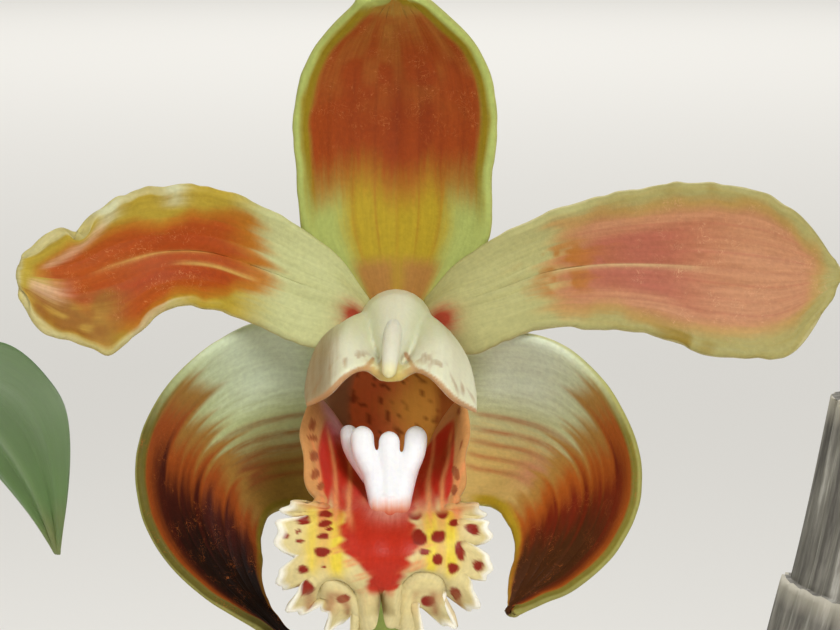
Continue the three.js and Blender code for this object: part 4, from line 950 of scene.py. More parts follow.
# four fingers, one body low down, drawn there as three fat stems between them
callus = {
    "fingers": [
        ([[-4.2, 0.0, -9.3], [-3.8, -1.8, -11.2], [-2.2, -4.2, -13.6]], 0.75),
        ([[-2.95, -3.6, -9.2], [-2.75, -4.8, -11.2], [-1.8, -6.2, -13.2], [-1.2, -7.8, -15]], 0.99),
        ([[-0.62, -4.2, -9.6], [-0.6, -5.2, -11.4], [-0.5, -6.8, -13.4], [-0.5, -8.4, -15.2]], 0.88),
        ([[1.65, -3.6, -9.2], [1.5, -4.8, -11.2], [0.7, -6.2, -13.2], [0.1, -7.8, -15]], 0.95),
    ],
    "stems": (-1.9, -0.55, 0.8), "skin": (0.14, 5), "farSkin": (0.25, 3),
}


# looks of a grown skin, made from each point's place in the bloom's own frame
def colourByPlace(piece, pose, rules):
    x, y, z = ownPoints(piece, pose).T
    looks = {key: np.clip(rule(x, y, z), 0, 1) for key, rule in rules.items()}
    addLooks(piece, {"inner": np.ones(len(x)), **looks}, y, x)


# how far places lie from the hood's front edge, in mm
def fromEdge(x, y, z, edge):
    line = curveAt(edge, np.linspace(0, 1, 120))
    return np.min([np.sqrt((x - a) ** 2 + (y - b) ** 2 + (z - c) ** 2) for a, b, c in line], axis=0)


# the wings' inner borders run up to the anther cap
def wingSeam(x, y, z):
    left = besideLine(x, z, [(-2.9, -4.7), (-2.4, -4.0), (-1.95, -3.4)])
    right = besideLine(x, z, [(1.9, -4.5), (1.3, -3.8), (0.8, -3.0)])
    return (1 - ramp(0.1, 0.24, np.minimum(left, right))) * (y < -6)


def makeColumn(name, pose, seed, fine):
    u, v, half = sheetGrid(30, 26, hood["thickness"], 0.05, 0.06)
    points = railed(hood["rails"], u, v)
    # each wing is a rounded shoulder, and its front edge rises towards the column's tip
    normal = normals(points)
    lengthwise = unit(np.gradient(points, axis=0))
    upward = 1.0 if normal[..., 2].mean() > 0 else -1.0
    valley = hump(np.abs(v), 0.42 - 0.34 * u, 0.11)
    shoulder = 2.0 * hump(np.abs(v), 0.54 - 0.1 * ramp(0.5, 1, u), 0.26) - 1.1 * valley
    shoulder = shoulder * hump(u, 0.6, 0.42)
    rise = (0.9 * hump(np.abs(v), 0.22, 0.15) - 0.9 * hump(np.abs(v), 0.62, 0.25)) * ramp(0.5, 1, u)
    points = points + normal * upward * shoulder[..., None] - lengthwise * rise[..., None]
    frontEdge = points[-1]
    marks = np.linspace(0, 1, len(ridge["radii"]))
    ridgeShape = rodShape(ridge["path"], lambda u, angle: np.interp(u, marks, ridge["radii"]), 40, 24)
    voxel, smoothing = hood["skin"] if fine else hood["farSkin"]
    shapes = [closedSheet(points, half), ridgeShape]
    piece = grownTogether(name, shapes, columnMaterial, pose, voxel, smoothing)

    # greener on the wings, towards the back and on the dome's flanks; on the flanks partly the column's own
    # tint, partly painted shade, leaving the dome's middle lighter as a painted highlight
    def green(x, y, z):
        wings = 0.8 * ramp(2.2, 3.6, np.abs(x)) * (1 - ramp(-3, -1.5, -z))
        return wings + 0.4 * ramp(1, 3, y) + 0.5 * ramp(0.5, 2.4, np.abs(x + 0.1)) * ramp(-2.6, -0.6, z)

    def brown(x, y, z):
        flecks = ramp(0.1, 0.6, uneven(x * 2.2, y * 2.2, seed))
        return 0.5 * hump(fromEdge(x, y, z, frontEdge), 1.3, 0.7) * flecks

    def edgeLine(x, y, z):
        return 0.9 * np.maximum(1 - ramp(0.26, 0.42, fromEdge(x, y, z, frontEdge)), wingSeam(x, y, z))

    def tongue(x, y, z):
        return 0.9 * hump(x, -0.4, 1.5) * (1 - ramp(0.8, 1.5, fromEdge(x, y, z, frontEdge)))

    # painted shade on the left wing's outer side, turned away from the key light
    def shade(x, y, z):
        return 0.85 * ramp(3.9, 6.4, -x)
    colourByPlace(piece, pose, {
        "green": green, "brown": brown, "shade": shade, "line": edgeLine, "tongue": tongue})
    return piece


def makeThroat(name, pose, seed, rows, columns):
    u, v, half = sheetGrid(rows, columns, foot["thickness"], 0.05, 0.06)
    points = railed(foot["rails"], u, v)
    looks = {
        "left": 1 - ramp(-0.35, 0.45, v + 0.2 * uneven(u * 6, v * 2, seed)),
        "dot": 0.7 * ramp(0.45, 0.7, uneven(u * 34, v * 20, seed + 1)) * ramp(0.15, 0.3, u),
        "wall": ramp(0.62, 0.74, -v),
        "dusk": ramp(0.6, 0.76, v),
    }
    spread = (u * foot["size"][0], v * foot["size"][1] / 2)
    return sheetPiece(name, points, half, looks, throatMaterial, pose, spread)


def makeCallus(name, pose, fine):
    shapes = []
    for path, thick in callus["fingers"]:
        def girth(u, angle):
            roundTip = np.sqrt(np.clip(1 - (1 - np.minimum(u / 0.16, 1)) ** 2, 0.01, 1))
            return thick * (1.05 - 0.15 * u) * roundTip
        shapes.append(rodShape(path, girth, 24, 20))
    for x in callus["stems"]:
        stem = [[x, -4.4, -12.2], [x * 0.85 - 0.08, -6.4, -13.5], [x * 0.7 - 0.15, -8, -15.3],
                [x * 0.75 - 0.12, -10, -17]]
        shapes.append(rodShape(stem, lambda u, angle: (1.25 - 0.6 * u) * roundedOff(u, 0.12), 20, 20))
    voxel, smoothing = callus["skin"] if fine else callus["farSkin"]
    piece = grownTogether(name, shapes, callusMaterial, pose, voxel, smoothing)
    colourByPlace(piece, pose, {
        "peach": lambda x, y, z: ramp(14.4, 16.1, -z),
        "red": lambda x, y, z: ramp(15.3, 16.5, -z),
    })
    return piece


def makeAnther(name, pose, fine):
    rows, sides = (24, 24) if fine else (10, 12)
    points, faces, share, angle = rodShape(anther["path"], anther["radius"], rows, sides)
    piece = meshObject(name, points, faces, antherMaterial, pose)
    addLooks(piece, {"inner": np.ones(len(share)), "tip": ramp(0.75, 1, share)}, share * 6, share * 0)
    return piece


# Stalk and ovary behind a bloom: ribbed, green-cream, a little twisted
stalkMaterial = fleshMaterial(
    "ovary skin, yellow-green", "#b9bd78", "#b9bd78",
    [("rib", "#9fa85c"), ("flush", "#b98a52")], patchy=0.08, scatter=0.15)


def makeStalk(name, pose, bloom, rows, sides):
    inverse = np.linalg.inv(pose)
    start = inverse[:3, :3] @ curveAt(scapePath, bloom["at"]) + inverse[:3, 3]
    path = [start, start + [0, -7, 3.5], ovaryTop + [0, 10, -0.8], ovaryTop]

    def girth(u, angle):
        rib = 0.1 * np.cos(3 * angle + 2.5 * u) + 0.05 * np.cos(6 * angle + 5 * u)
        return (1.5 + 1.1 * u) * (1 + rib)
    points, faces, share, angle = rodShape(path, girth, rows, sides)
    piece = meshObject(name, points, faces, stalkMaterial, pose)
    looks = {
        "inner": np.ones(len(share)),
        "rib": 0.5 - 0.5 * np.cos(3 * angle + 2.5 * share),
        "flush": 0.6 * ramp(0.6, 1, share),
    }
    addLooks(piece, looks, share * 28, angle * 2)
    return piece


for bloom in blooms:
    name, seed = bloom["name"], bloom["seed"] * 10 + 7
    pose = bloomPose(bloom)
    fine = bloom is blooms[0]
    plain = name.replace("_", "")
    if not fine:
        parts = []
        for part, tepal, looks, material, slot in tepals:
            sizes = grids["tepal"]
            parts.append(makeTepal(f"{plain}_{part}", tepal, looks, flesh[material], pose, seed, *sizes))
        for piece in parts:
            finish(piece, name + "_tepals")
    finish(makeLip(plain + "_lip", pose, seed, *grids["heroLip" if fine else "lip"]), name + "_lip")
    finish(makeColumn(plain + "_column", pose, seed, fine), name + "_column")
    throatGrid, stalkGrid = ((40, 30), (40, 36)) if fine else ((16, 12), (20, 18))
    finish(makeThroat(plain + "_throat", pose, seed, *throatGrid), None)
    finish(makeCallus(plain + "_callus", pose, fine), name + "_callus" if fine else None)
    finish(makeAnther(plain + "_anther", pose, fine), name + "_anther_cap" if fine else None)
    finish(makeStalk(plain + "_stalk", pose, bloom, *stalkGrid), name + "_stalk")
print("lips, columns and stalks are made")


# Geometry nodes

# a tree with its named inputs
def newTree(name, inputs):
    tree = bpy.data.node_groups.new(name, "GeometryNodeTree")
    tree.interface.new_socket("Geometry", in_out="INPUT", socket_type="NodeSocketGeometry")
    for label, kind in inputs.items():
        tree.interface.new_socket(label, in_out="INPUT", socket_type="NodeSocket" + kind)
    tree.interface.new_socket("Geometry", in_out="OUTPUT", socket_type="NodeSocketGeometry")
    return tree, tree.nodes.new("NodeGroupInput"), tree.nodes.new("NodeGroupOutput")


# ends a tree: its geometry made real and given the material
def endTree(tree, given, result, geometry):
    real = add(tree, "GeometryNodeRealizeInstances", {"Geometry": geometry})
    painted = add(tree, "GeometryNodeSetMaterial", {"Geometry": real, "Material": given.outputs["Material"]})
    plug(tree, painted, result.inputs[0])


def grow(piece, tree, values):
    modifier = piece.modifiers.new(tree.name, "NODES")
    modifier.node_group = tree
    for item in tree.interface.items_tree:
        if item.in_out == "INPUT" and item.name in values:
            modifier[item.identifier] = values[item.name]
    settle(piece)


# Pot

pot = {
    "profile": [[0, 0], [43, 0], [55, 86], [59.5, 87.5], [61, 103], [59.5, 105], [54.5, 105], [53.5, 103],
                [38.5, 7], [0, 7]],
    "rounding": [0, 2, 1.2, 1, 1.6, 1.6, 1.2, 1.2, 3, 0], "sides": 128,
    "drainRadius": 4.5, "drainReach": 22, "drainHoles": 3,
}


# an outline with its corners rounded: each corner becomes a short curve
def rounded(outline, roundings):
    outline = np.array(outline, float)
    made = []
    for k, (corner, size) in enumerate(zip(outline, roundings)):
        if size == 0:
            made.append(corner)
            continue
        before, after = outline[k - 1] - corner, outline[k + 1] - corner
        reach = min(size, 0.45 * np.linalg.norm(before), 0.45 * np.linalg.norm(after))
        start, end = corner + unit(before) * reach, corner + unit(after) * reach
        for t in np.linspace(0, 1, 5):
            made.append((1 - t) ** 2 * start + 2 * t * (1 - t) * corner + t * t * end)
    return np.array(made)


# a closed turned shape; the outline runs from the axis round to the axis
def turned(name, outline, sides, material):
    angle = fullTurn(sides)
    inner = outline[1:-1]
    ring = np.stack([inner[:, None, 0] * np.cos(angle), inner[:, None, 0] * np.sin(angle),
                     inner[:, None, 1] * np.ones(sides)], -1)
    points = np.concatenate([ring.reshape(-1, 3), [[0, 0, outline[0][1]], [0, 0, outline[-1][1]]]])
    return meshObject(name, points, ringFaces(len(inner), sides), material)


# Terracotta: fired clay, dry and matt, with turning lines, darker and paler firing and a little
# lime where water has dried on it
def clayMaterial():
    material, tree, shader = newMaterial("terracotta, thrown and fired", 0.88)
    place = add(tree, "ShaderNodeTexCoord").outputs["Object"]
    firing = add(tree, "ShaderNodeTexNoise", {"Vector": place, "Scale": 1 / (40 * mm), "Detail": 4.0})
    fired = add(tree, "ShaderNodeMapRange", {0: firing, 1: 0.3, 2: 0.7})
    height = add(tree, "ShaderNodeSeparateXYZ", {0: place}).outputs["Z"]
    low = add(tree, "ShaderNodeMapRange", {0: height, 1: 0.0, 2: 30 * mm, 3: 0.55, 4: 0.0})
    crystals = {"Vector": place, "Scale": 1 / (7 * mm), "Detail": 6.0, "Roughness": 0.7}
    crust = add(tree, "ShaderNodeMapRange", {0: add(tree, "ShaderNodeTexNoise", crystals), 1: 0.5, 2: 0.68})
    strength = add(tree, "ShaderNodeMath", [low, 0.16], operation="ADD")
    lime = add(tree, "ShaderNodeMath", [crust, strength], operation="MULTIPLY")
    colour = layered(tree, "#a4532f", [(fired, "#bd7147"), (lime, "#d8c6b2")])
    grit = add(tree, "ShaderNodeTexNoise", {"Vector": place, "Scale": 1 / (0.9 * mm), "Detail": 4.0})
    shade = add(tree, "ShaderNodeMapRange", {0: grit, 1: 0.3, 2: 0.7, 3: 0.9, 4: 1.08})
    tinted = add(tree, "ShaderNodeHueSaturation", {"Value": shade, "Color": colour})
    # the turning lines are 1.2 mm apart
    phase = add(tree, "ShaderNodeMath", [height, 2 * math.pi / (1.2 * mm)], operation="MULTIPLY")
    lines = add(tree, "ShaderNodeMath", [phase], operation="SINE")
    relief = add(tree, "ShaderNodeMath", [lines, 0.15, grit], operation="MULTIPLY_ADD")
    dressed(tree, shader, tinted, relief, 0.5, 0.3)
    return material


def makePot():
    piece = turned("pot_skin", rounded(pot["profile"], pot["rounding"]), pot["sides"], clayMaterial())
    cutters = []
    for k in range(pot["drainHoles"]):
        x, y, z = outward(360 * k / pot["drainHoles"]) * pot["drainReach"]
        drill = rodShape([[x, y, -6], [x, y, 14]], lambda u, angle: pot["drainRadius"], 3, 32)
        cutters.append(meshObject("hole", *drill[:2], piece.data.materials[0]))
        cut = piece.modifiers.new("drain", "BOOLEAN")
        cut.object = cutters[-1]
        cut.operation = "DIFFERENCE"
        cut.solver = "EXACT"
    settle(piece)
    for cutter in cutters:
        bpy.data.objects.remove(cutter)
    piece.data.shade_smooth()
    return piece


finish(makePot(), "pot")

# Bark mix: a bed with chips strewn over it

barkMix = {"top": 90, "foot": 7.3, "clear": 0.9, "chip": (15, 9, 5.5), "density": 62000.0, "spread": 43,
           "seed": 4}


# Orchid bark: rough dry chips, red-brown where fresh and tan where weathered
def barkMaterial():
    material, tree, shader = newMaterial("fir bark, dry chips", 0.92)
    place = add(tree, "ShaderNodeTexCoord").outputs["Object"]
    flakes = {"Vector": place, "Scale": 1 / (2.2 * mm), "Detail": 5.0, "Roughness": 0.65}
    layers = add(tree, "ShaderNodeTexNoise", flakes)
    weathered = add(tree, "ShaderNodeMapRange", {0: layers, 1: 0.42, 2: 0.7})
    pores = add(tree, "ShaderNodeTexVoronoi", {"Vector": place, "Scale": 1 / (1.4 * mm)})
    dark = add(tree, "ShaderNodeMapRange", {0: pores, 1: 0.0, 2: 0.45, 3: 0.6, 4: 0.0})
    colour = layered(tree, "#4a2a18", [("tone", "#8a6244"), (weathered, "#a88a6c"), (dark, "#24140c")])
    dressed(tree, shader, colour, layers, 0.8, 0.8)
    return material


# the pot's inner wall at a height, and a little clear of it
def potWall(height):
    (wide, high), (narrow, low) = pot["profile"][-3:-1]
    return np.interp(height, [low, high], [narrow, wide]) - barkMix["clear"]


barkSkin = barkMaterial()
top, low = barkMix["top"], barkMix["foot"]
rim = potWall(top - 3)
bedOutline = [[0, low], [potWall(low), low], [rim, top - 3], [rim - 4, top], [0, top + 1]]
bed = turned("bark_bed", rounded(bedOutline, [0, 1, 1, 2, 0]), 96, barkSkin)
addAttribute(bed, "tone", np.full(len(bed.data.vertices), 0.15))
finish(bed, "bark_mix")


# chips of broken bark, lumpy and each turned and sized its own way
def barkScatterTree():
    tree, given, result = newTree("barkScatter", {
        "Chips per square metre": "Float", "Chip length": "Float", "Chip width": "Float",
        "Chip height": "Float", "Seed": "Int", "Material": "Material"})
    strewn = add(tree, "GeometryNodeDistributePointsOnFaces", {
        "Mesh": given.outputs["Geometry"], "Density": given.outputs["Chips per square metre"],
        "Seed": given.outputs["Seed"]})
    size = add(tree, "ShaderNodeCombineXYZ", {
        0: given.outputs["Chip length"], 1: given.outputs["Chip width"], 2: given.outputs["Chip height"]})
    counts = {"Vertices X": 5, "Vertices Y": 4, "Vertices Z": 3}
    block = add(tree, "GeometryNodeMeshCube", {"Size": size, **counts})
    lumps = add(tree, "ShaderNodeTexNoise", {"Scale": 1 / (5 * mm), "Detail": 2.0}).outputs["Color"]
    centred = add(tree, "ShaderNodeVectorMath", {0: lumps, 1: (0.5, 0.5, 0.5)}, operation="SUBTRACT")
    pushed = add(tree, "ShaderNodeVectorMath", {0: centred, "Scale": 8 * mm}, operation="SCALE")
    chip = add(tree, "GeometryNodeSetPosition", {"Geometry": block.outputs["Mesh"], "Offset": pushed})
    turnLimits = {0: (-0.5, -0.5, 0.0), 1: (0.5, 0.5, 6.28), "Seed": 3}
    scaleLimits = {0: (0.5, 0.6, 0.6), 1: (1.15, 1.1, 1.2), "Seed": 5}
    laid = add(tree, "GeometryNodeInstanceOnPoints", {
        "Points": strewn.outputs["Points"], "Instance": chip,
        "Rotation": add(tree, "FunctionNodeRandomValue", turnLimits, data_type="FLOAT_VECTOR"),
        "Scale": add(tree, "FunctionNodeRandomValue", scaleLimits, data_type="FLOAT_VECTOR")})
    tone = add(tree, "FunctionNodeRandomValue", {2: 0.0, 3: 1.0, "Seed": 9}, data_type="FLOAT")
    toned = add(tree, "GeometryNodeStoreNamedAttribute", {"Geometry": laid, "Name": "tone", "Value": tone},
                data_type="FLOAT", domain="INSTANCE")
    endTree(tree, given, result, toned)
    return tree


chips = makePlate("bark_chips", barkMix["spread"], top + 1.6, 48, barkSkin)
length, width, height = (side * mm for side in barkMix["chip"])
grow(chips, barkScatterTree(), {
    "Chips per square metre": barkMix["density"], "Chip length": length, "Chip width": width,
    "Chip height": height, "Seed": barkMix["seed"], "Material": barkSkin})
finish(chips, "bark_mix")
print("pot and bark are made")

# Canes: jointed stems with a papery sheath at each joint

canes = [
    {"name": "old_cane_bare", "slot": "old_cane", "skin": "old", "foot": 4.5, "belly": 11.5, "joints": 8,
     "flare": 0.1, "ribs": 26, "ribDepth": 0.3, "sides": 96,
     "path": [[26, 5, 92], [56, 10, 118], [87, 14, 152], [102.5, 17, 192], [110.5, 19, 240]]},
    {"name": "old_cane_back", "slot": "old_cane", "skin": "old", "foot": 4.5, "belly": 11, "joints": 7,
     "flare": 0.1, "ribs": 24, "ribDepth": 0.3, "sides": 72,
     "path": [[12, 26, 92], [22, 52, 116], [32, 86, 128], [40, 118, 122], [45, 142, 108]]},
    {"name": "leafy_cane", "slot": "cane", "skin": "green", "foot": 4.5, "belly": 11, "joints": 8,
     "flare": 0.07, "ribs": 18, "ribDepth": 0.2, "sides": 72,
     "path": [[-8, 24, 92], [-22, 42, 122], [-42, 62, 158], [-58, 76, 190], [-68, 84, 216]]},
    {"name": "new_shoot", "slot": "shoot", "skin": "shoot", "foot": 5.5, "belly": 8, "joints": 6,
     "flare": 0.12, "ribs": 14, "ribDepth": 0.2, "sides": 72,
     "path": [[-17, -14, 92], [-23, -17, 114], [-32, -21, 138], [-42, -25, 160], [-50, -27, 180]]},
]


# a cane's radius at a share of its length, as the tree below makes it
def caneRadius(cane, u):
    swell = np.sin(np.pi * (0.03 + 0.87 * u ** 1.4)) ** 0.8
    flared = 1 + cane["flare"] * ((u * cane["joints"]) % 1)
    return (cane["foot"] + (cane["belly"] - cane["foot"]) * swell) * flared


def jointedCaneTree():
    tree, given, result = newTree("jointedCane", {
        "Foot radius": "Float", "Belly radius": "Float", "Joints": "Float", "Flare": "Float",
        "Ribs": "Float", "Rib depth": "Float", "Sides": "Int", "Material": "Material"})
    share = add(tree, "GeometryNodeInputNamedAttribute", {"Name": "share"}, data_type="FLOAT")
    swell = share
    for operation, values in [("POWER", [1.4]), ("MULTIPLY_ADD", [0.87 * math.pi, 0.03 * math.pi]),
                              ("SINE", []), ("POWER", [0.8])]:
        swell = add(tree, "ShaderNodeMath", [swell, *values], operation=operation)
    foot, belly = given.outputs["Foot radius"], given.outputs["Belly radius"]
    thicker = add(tree, "ShaderNodeMath", [belly, foot], operation="SUBTRACT")
    body = add(tree, "ShaderNodeMath", [thicker, swell, foot], operation="MULTIPLY_ADD")
    passed = add(tree, "ShaderNodeMath", [share, given.outputs["Joints"]], operation="MULTIPLY")
    inJoint = add(tree, "ShaderNodeMath", [passed], operation="FRACT")
    flared = add(tree, "ShaderNodeMath", [inJoint, given.outputs["Flare"], 1.0], operation="MULTIPLY_ADD")
    radius = add(tree, "ShaderNodeMath", [body, flared], operation="MULTIPLY")
    line = add(tree, "GeometryNodeMeshToCurve", {"Mesh": given.outputs["Geometry"]})
    circle = {"Resolution": given.outputs["Sides"], "Radius": 1.0}
    ring = add(tree, "GeometryNodeCurvePrimitiveCircle", circle).outputs["Curve"]
    factor = add(tree, "GeometryNodeSplineParameter").outputs["Factor"]
    kept = {"Geometry": ring, "Name": "around", "Value": factor}
    marked = add(tree, "GeometryNodeStoreNamedAttribute", kept, data_type="FLOAT", domain="POINT")
    skin = add(tree, "GeometryNodeCurveToMesh", {
        "Curve": line, "Profile Curve": marked, "Scale": radius, "Fill Caps": True})
    around = add(tree, "GeometryNodeInputNamedAttribute", {"Name": "around"}, data_type="FLOAT")
    turns = add(tree, "ShaderNodeMath", [around, given.outputs["Ribs"]], operation="MULTIPLY")
    turn = add(tree, "ShaderNodeMath", [turns, 2 * math.pi], operation="MULTIPLY")
    wave = add(tree, "ShaderNodeMath", [turn], operation="COSINE")
    ribs = add(tree, "ShaderNodeMath", [wave, given.outputs["Rib depth"]], operation="MULTIPLY")
    normal = add(tree, "GeometryNodeInputNormal")
    raised = add(tree, "ShaderNodeVectorMath", {0: normal, "Scale": ribs}, operation="SCALE")
    ribbed = add(tree, "GeometryNodeSetPosition", {"Geometry": skin, "Offset": raised})
    endTree(tree, given, result, add(tree, "GeometryNodeSetShadeSmooth", {"Geometry": ribbed}))
    return tree


# Cane skin, from the shares along and around that the tree leaves on the mesh. A dry sheath is
# grey paper with fibres; a live one is green, and paler under each joint
def caneMaterial(name, ground, dark, light, jointColour, fibres, roughness, joints):
    material, tree, shader = newMaterial(name, roughness)
    along = add(tree, "ShaderNodeMath", ["share", 9.0], operation="MULTIPLY")
    across = add(tree, "ShaderNodeMath", ["around", 46.0], operation="MULTIPLY")
    lined = add(tree, "ShaderNodeCombineXYZ", [along, across])
    threads = {"Vector": lined, "Scale": 1.0, "Detail": 6.0, "Roughness": 0.65}
    fibre = add(tree, "ShaderNodeTexNoise", threads)
    place = add(tree, "ShaderNodeTexCoord").outputs["Object"]
    cloud = add(tree, "ShaderNodeTexNoise", {"Vector": place, "Scale": 1 / (9 * mm), "Detail": 4.0})
    shown = add(tree, "ShaderNodeMapRange", {0: fibre, 1: 0.38, 2: 0.62})
    pale = add(tree, "ShaderNodeMapRange", {0: fibre, 1: 0.56, 2: 0.7, 3: 0.0, 4: fibres})
    patch = add(tree, "ShaderNodeMapRange", {0: cloud, 1: 0.4, 2: 0.75, 3: 0.0, 4: 0.6})
    passed = add(tree, "ShaderNodeMath", ["share", float(joints)], operation="MULTIPLY")
    inJoint = add(tree, "ShaderNodeMath", [passed], operation="FRACT")
    collar = add(tree, "ShaderNodeMapRange", {0: inJoint, 1: 0.86, 2: 1.0, 3: 0.0, 4: 0.8})
    layers = [(shown, ground), (pale, light), (patch, dark), (collar, jointColour)]
    dressed(tree, shader, layered(tree, dark, layers), fibre, 0.6, 0.4)
    return material


caneSkins = {
    "old": ("dry cane sheath, grey paper", "#a8a49a", "#5e5a54", "#d5d2ca", "#cfc8b6", 1.0, 0.75),
    "green": ("live cane, ribbed and green", "#7f8c48", "#5a6a30", "#a8ad6a", "#c0b080", 0.5, 0.5),
    "shoot": ("young shoot, fresh green", "#86a548", "#66883a", "#b2c276", "#cdd09a", 0.5, 0.42),
}
caneTree = jointedCaneTree()
for cane in canes:
    joints = cane["joints"]
    # two more rows at each joint make its collar a sharp step
    steps = np.arange(1, joints) / joints
    u = np.sort(np.concatenate([np.linspace(0, 0.999, 170), steps - 0.0004, steps + 0.0016]))
    material = caneMaterial(*caneSkins[cane["skin"]], joints)
    piece = meshObject(cane["name"] + "_skin", curveAt(cane["path"], u), [], material)
    links = np.arange(len(u) - 1)
    piece.data.edges.add(len(links))
    piece.data.edges.foreach_set("vertices", np.stack([links, links + 1], 1).ravel())
    piece.data.update()
    addAttribute(piece, "share", u)
    grow(piece, caneTree, {
        "Foot radius": cane["foot"] * mm, "Belly radius": cane["belly"] * mm, "Joints": float(joints),
        "Flare": cane["flare"], "Ribs": float(cane["ribs"]), "Rib depth": cane["ribDepth"] * mm,
        "Sides": cane["sides"], "Material": material})
    finish(piece, cane["name"])

# Rhizome and roots

rhizome = {
    "girth": 4.6, "rootGirth": 1.8,
    "path": [[32, 2, 91.5], [24, 14, 91.5], [6, 22, 91.5], [-10, 12, 91.5], [-18, -8, 91.5]],
    # each root's start, heading and length
    "roots": [((26, 6), -48, 24), ((-6, 18), 150, 30), ((-14, 4), 196, 24), ((-17, -6), 262, 26),
              ((-15, -4), 312, 30)],
}


# Root skin: velamen, dull and white-green like chalk, over a rhizome with brown scales
def rootMaterial():
    material, tree, shader = newMaterial("root velamen, chalky", 0.85)
    place = add(tree, "ShaderNodeTexCoord").outputs["Object"]
    dirt = add(tree, "ShaderNodeTexNoise", {"Vector": place, "Scale": 1 / (3 * mm), "Detail": 5.0})
    soiled = add(tree, "ShaderNodeMapRange", {0: dirt, 1: 0.4, 2: 0.65})
    scaled = add(tree, "ShaderNodeMapRange", {0: dirt, 1: 0.4, 2: 0.6})
    scales = layered(tree, "#8a6f48", [(scaled, "#5a4228")])
    colour = layered(tree, "#c4bfa6", [(soiled, "#8f8468"), ("trunk", scales)])
    dressed(tree, shader, colour, dirt, 0.6, 0.4)
    return material


def trunkGirth(u, angle):
    return (rhizome["girth"] - 0.8 * u) * (1 + 0.09 * ((u * 9) % 1))


def rootGirth(u, angle):
    return (rhizome["rootGirth"] - 0.7 * u) * (1 + 0.06 * np.sin(u * 40))


shapes = [rodShape(rhizome["path"], trunkGirth, 120, 32, (0, 0, 1))]
for i, ((x, y), heading, length) in enumerate(rhizome["roots"]):
    t = np.linspace(0, 1, 5)
    turn = np.radians(heading + 26 * np.sin(t * 3 + i))
    height = 94.5 + 2 * np.sin(t * 5 + i) - 9 * t * t
    path = np.stack([x + length * t * np.cos(turn), y + length * t * np.sin(turn), height], 1)
    shapes.append(rodShape(path, rootGirth, 60, 20, (0, 0, 1)))
piece = meshObject("rhizome_and_roots_skin", *joined(shapes), rootMaterial())
trunkPoints = len(shapes[0][0])
addAttribute(piece, "trunk", np.arange(len(piece.data.vertices)) < trunkPoints)
finish(piece, "rhizome_and_roots")
print("canes and roots are made")

# Leaves: pleated blades on an arching midrib

leaves = [
    {"cane": 3, "at": 0.55, "heading": 206, "rise": 34, "droop": -48, "length": 150, "width": 34},
    {"cane": 3, "at": 0.68, "heading": 92, "rise": 62, "droop": -12, "length": 140, "width": 30},
    {"cane": 3, "at": 0.8, "heading": 232, "rise": 58, "droop": -28, "length": 138, "width": 30},
    {"cane": 3, "at": 0.9, "heading": 128, "rise": 72, "droop": 14, "length": 118, "width": 25},
    {"cane": 3, "at": 0.97, "heading": 330, "rise": 84, "droop": 56, "length": 92, "width": 18},
    {"cane": 2, "at": 0.52, "heading": 172, "rise": 22, "droop": -58, "length": 170, "width": 40},
    {"cane": 2, "at": 0.66, "heading": 76, "rise": 30, "droop": -60, "length": 150, "width": 38},
    {"cane": 2, "at": 0.8, "heading": 150, "rise": 50, "droop": -34, "length": 172, "width": 40},
    {"cane": 2, "at": 0.93, "heading": 34, "rise": 74, "droop": -14, "length": 165, "width": 36},
    {"cane": 1, "at": 0.88, "heading": 22, "rise": 6, "droop": -50, "length": 140, "width": 34},
]
# steps along the midrib, as in the CAD; the blade's thickness, its pleats and its dry tips
blade = {"steps": 60, "thickness": 0.9, "pleat": 1.1, "dryTip": 0.9}


# the blade's surface, as the CAD has it, from the foot at base
def bladePoints(leaf, base, u, v, pleat):
    ahead, up = outward(leaf["heading"]), np.array([0, 0, 1.0])
    side = np.cross(up, ahead)
    steps = blade["steps"]
    step = (np.arange(steps) + 0.5) / steps
    tilt = np.radians(leaf["rise"] + (leaf["droop"] - leaf["rise"]) * step ** 1.25)
    stride = leaf["length"] / steps
    way = (np.cos(tilt)[:, None] * ahead + np.sin(tilt)[:, None] * up) * stride
    places = base + np.concatenate([np.zeros((1, 3)), np.cumsum(way, axis=0)])
    tilts = np.concatenate([[math.radians(leaf["rise"])], tilt])
    marks = np.linspace(0, 1, steps + 1)
    place = np.stack([np.interp(u, marks, places[:, k]) for k in range(3)], -1)
    leaned = np.interp(u, marks, tilts)
    over = np.cos(leaned)[..., None] * up - np.sin(leaned)[..., None] * ahead
    width = np.maximum(0.5, leaf["width"] / 2 * np.sin(np.pi * (0.05 + 0.95 * u) ** 0.85) ** 0.95)
    keel = (0.75 * (1 - u) ** 2 + 0.16) * np.abs(v) * width
    points = place + side * (v * width * (1 - 0.25 * (1 - u) ** 2))[..., None] + over * keel[..., None]
    fold = 1 - 4 * np.abs((np.abs(v) * 1.5) % 1 - 0.5)
    lift = pleat * np.sin(np.pi * np.minimum(1, 0.1 + 0.9 * u)) ** 0.6
    lift = lift * (fold + 0.12 * np.cos(np.pi * v * 15))
    wave = 1.6 * np.sin(u * 17 + np.where(v > 0, 1.9, 0) + leaf["heading"]) * v ** 4 * np.sin(np.pi * u)
    return points + normals(points) * (lift + wave * (pleat > 0))[..., None]


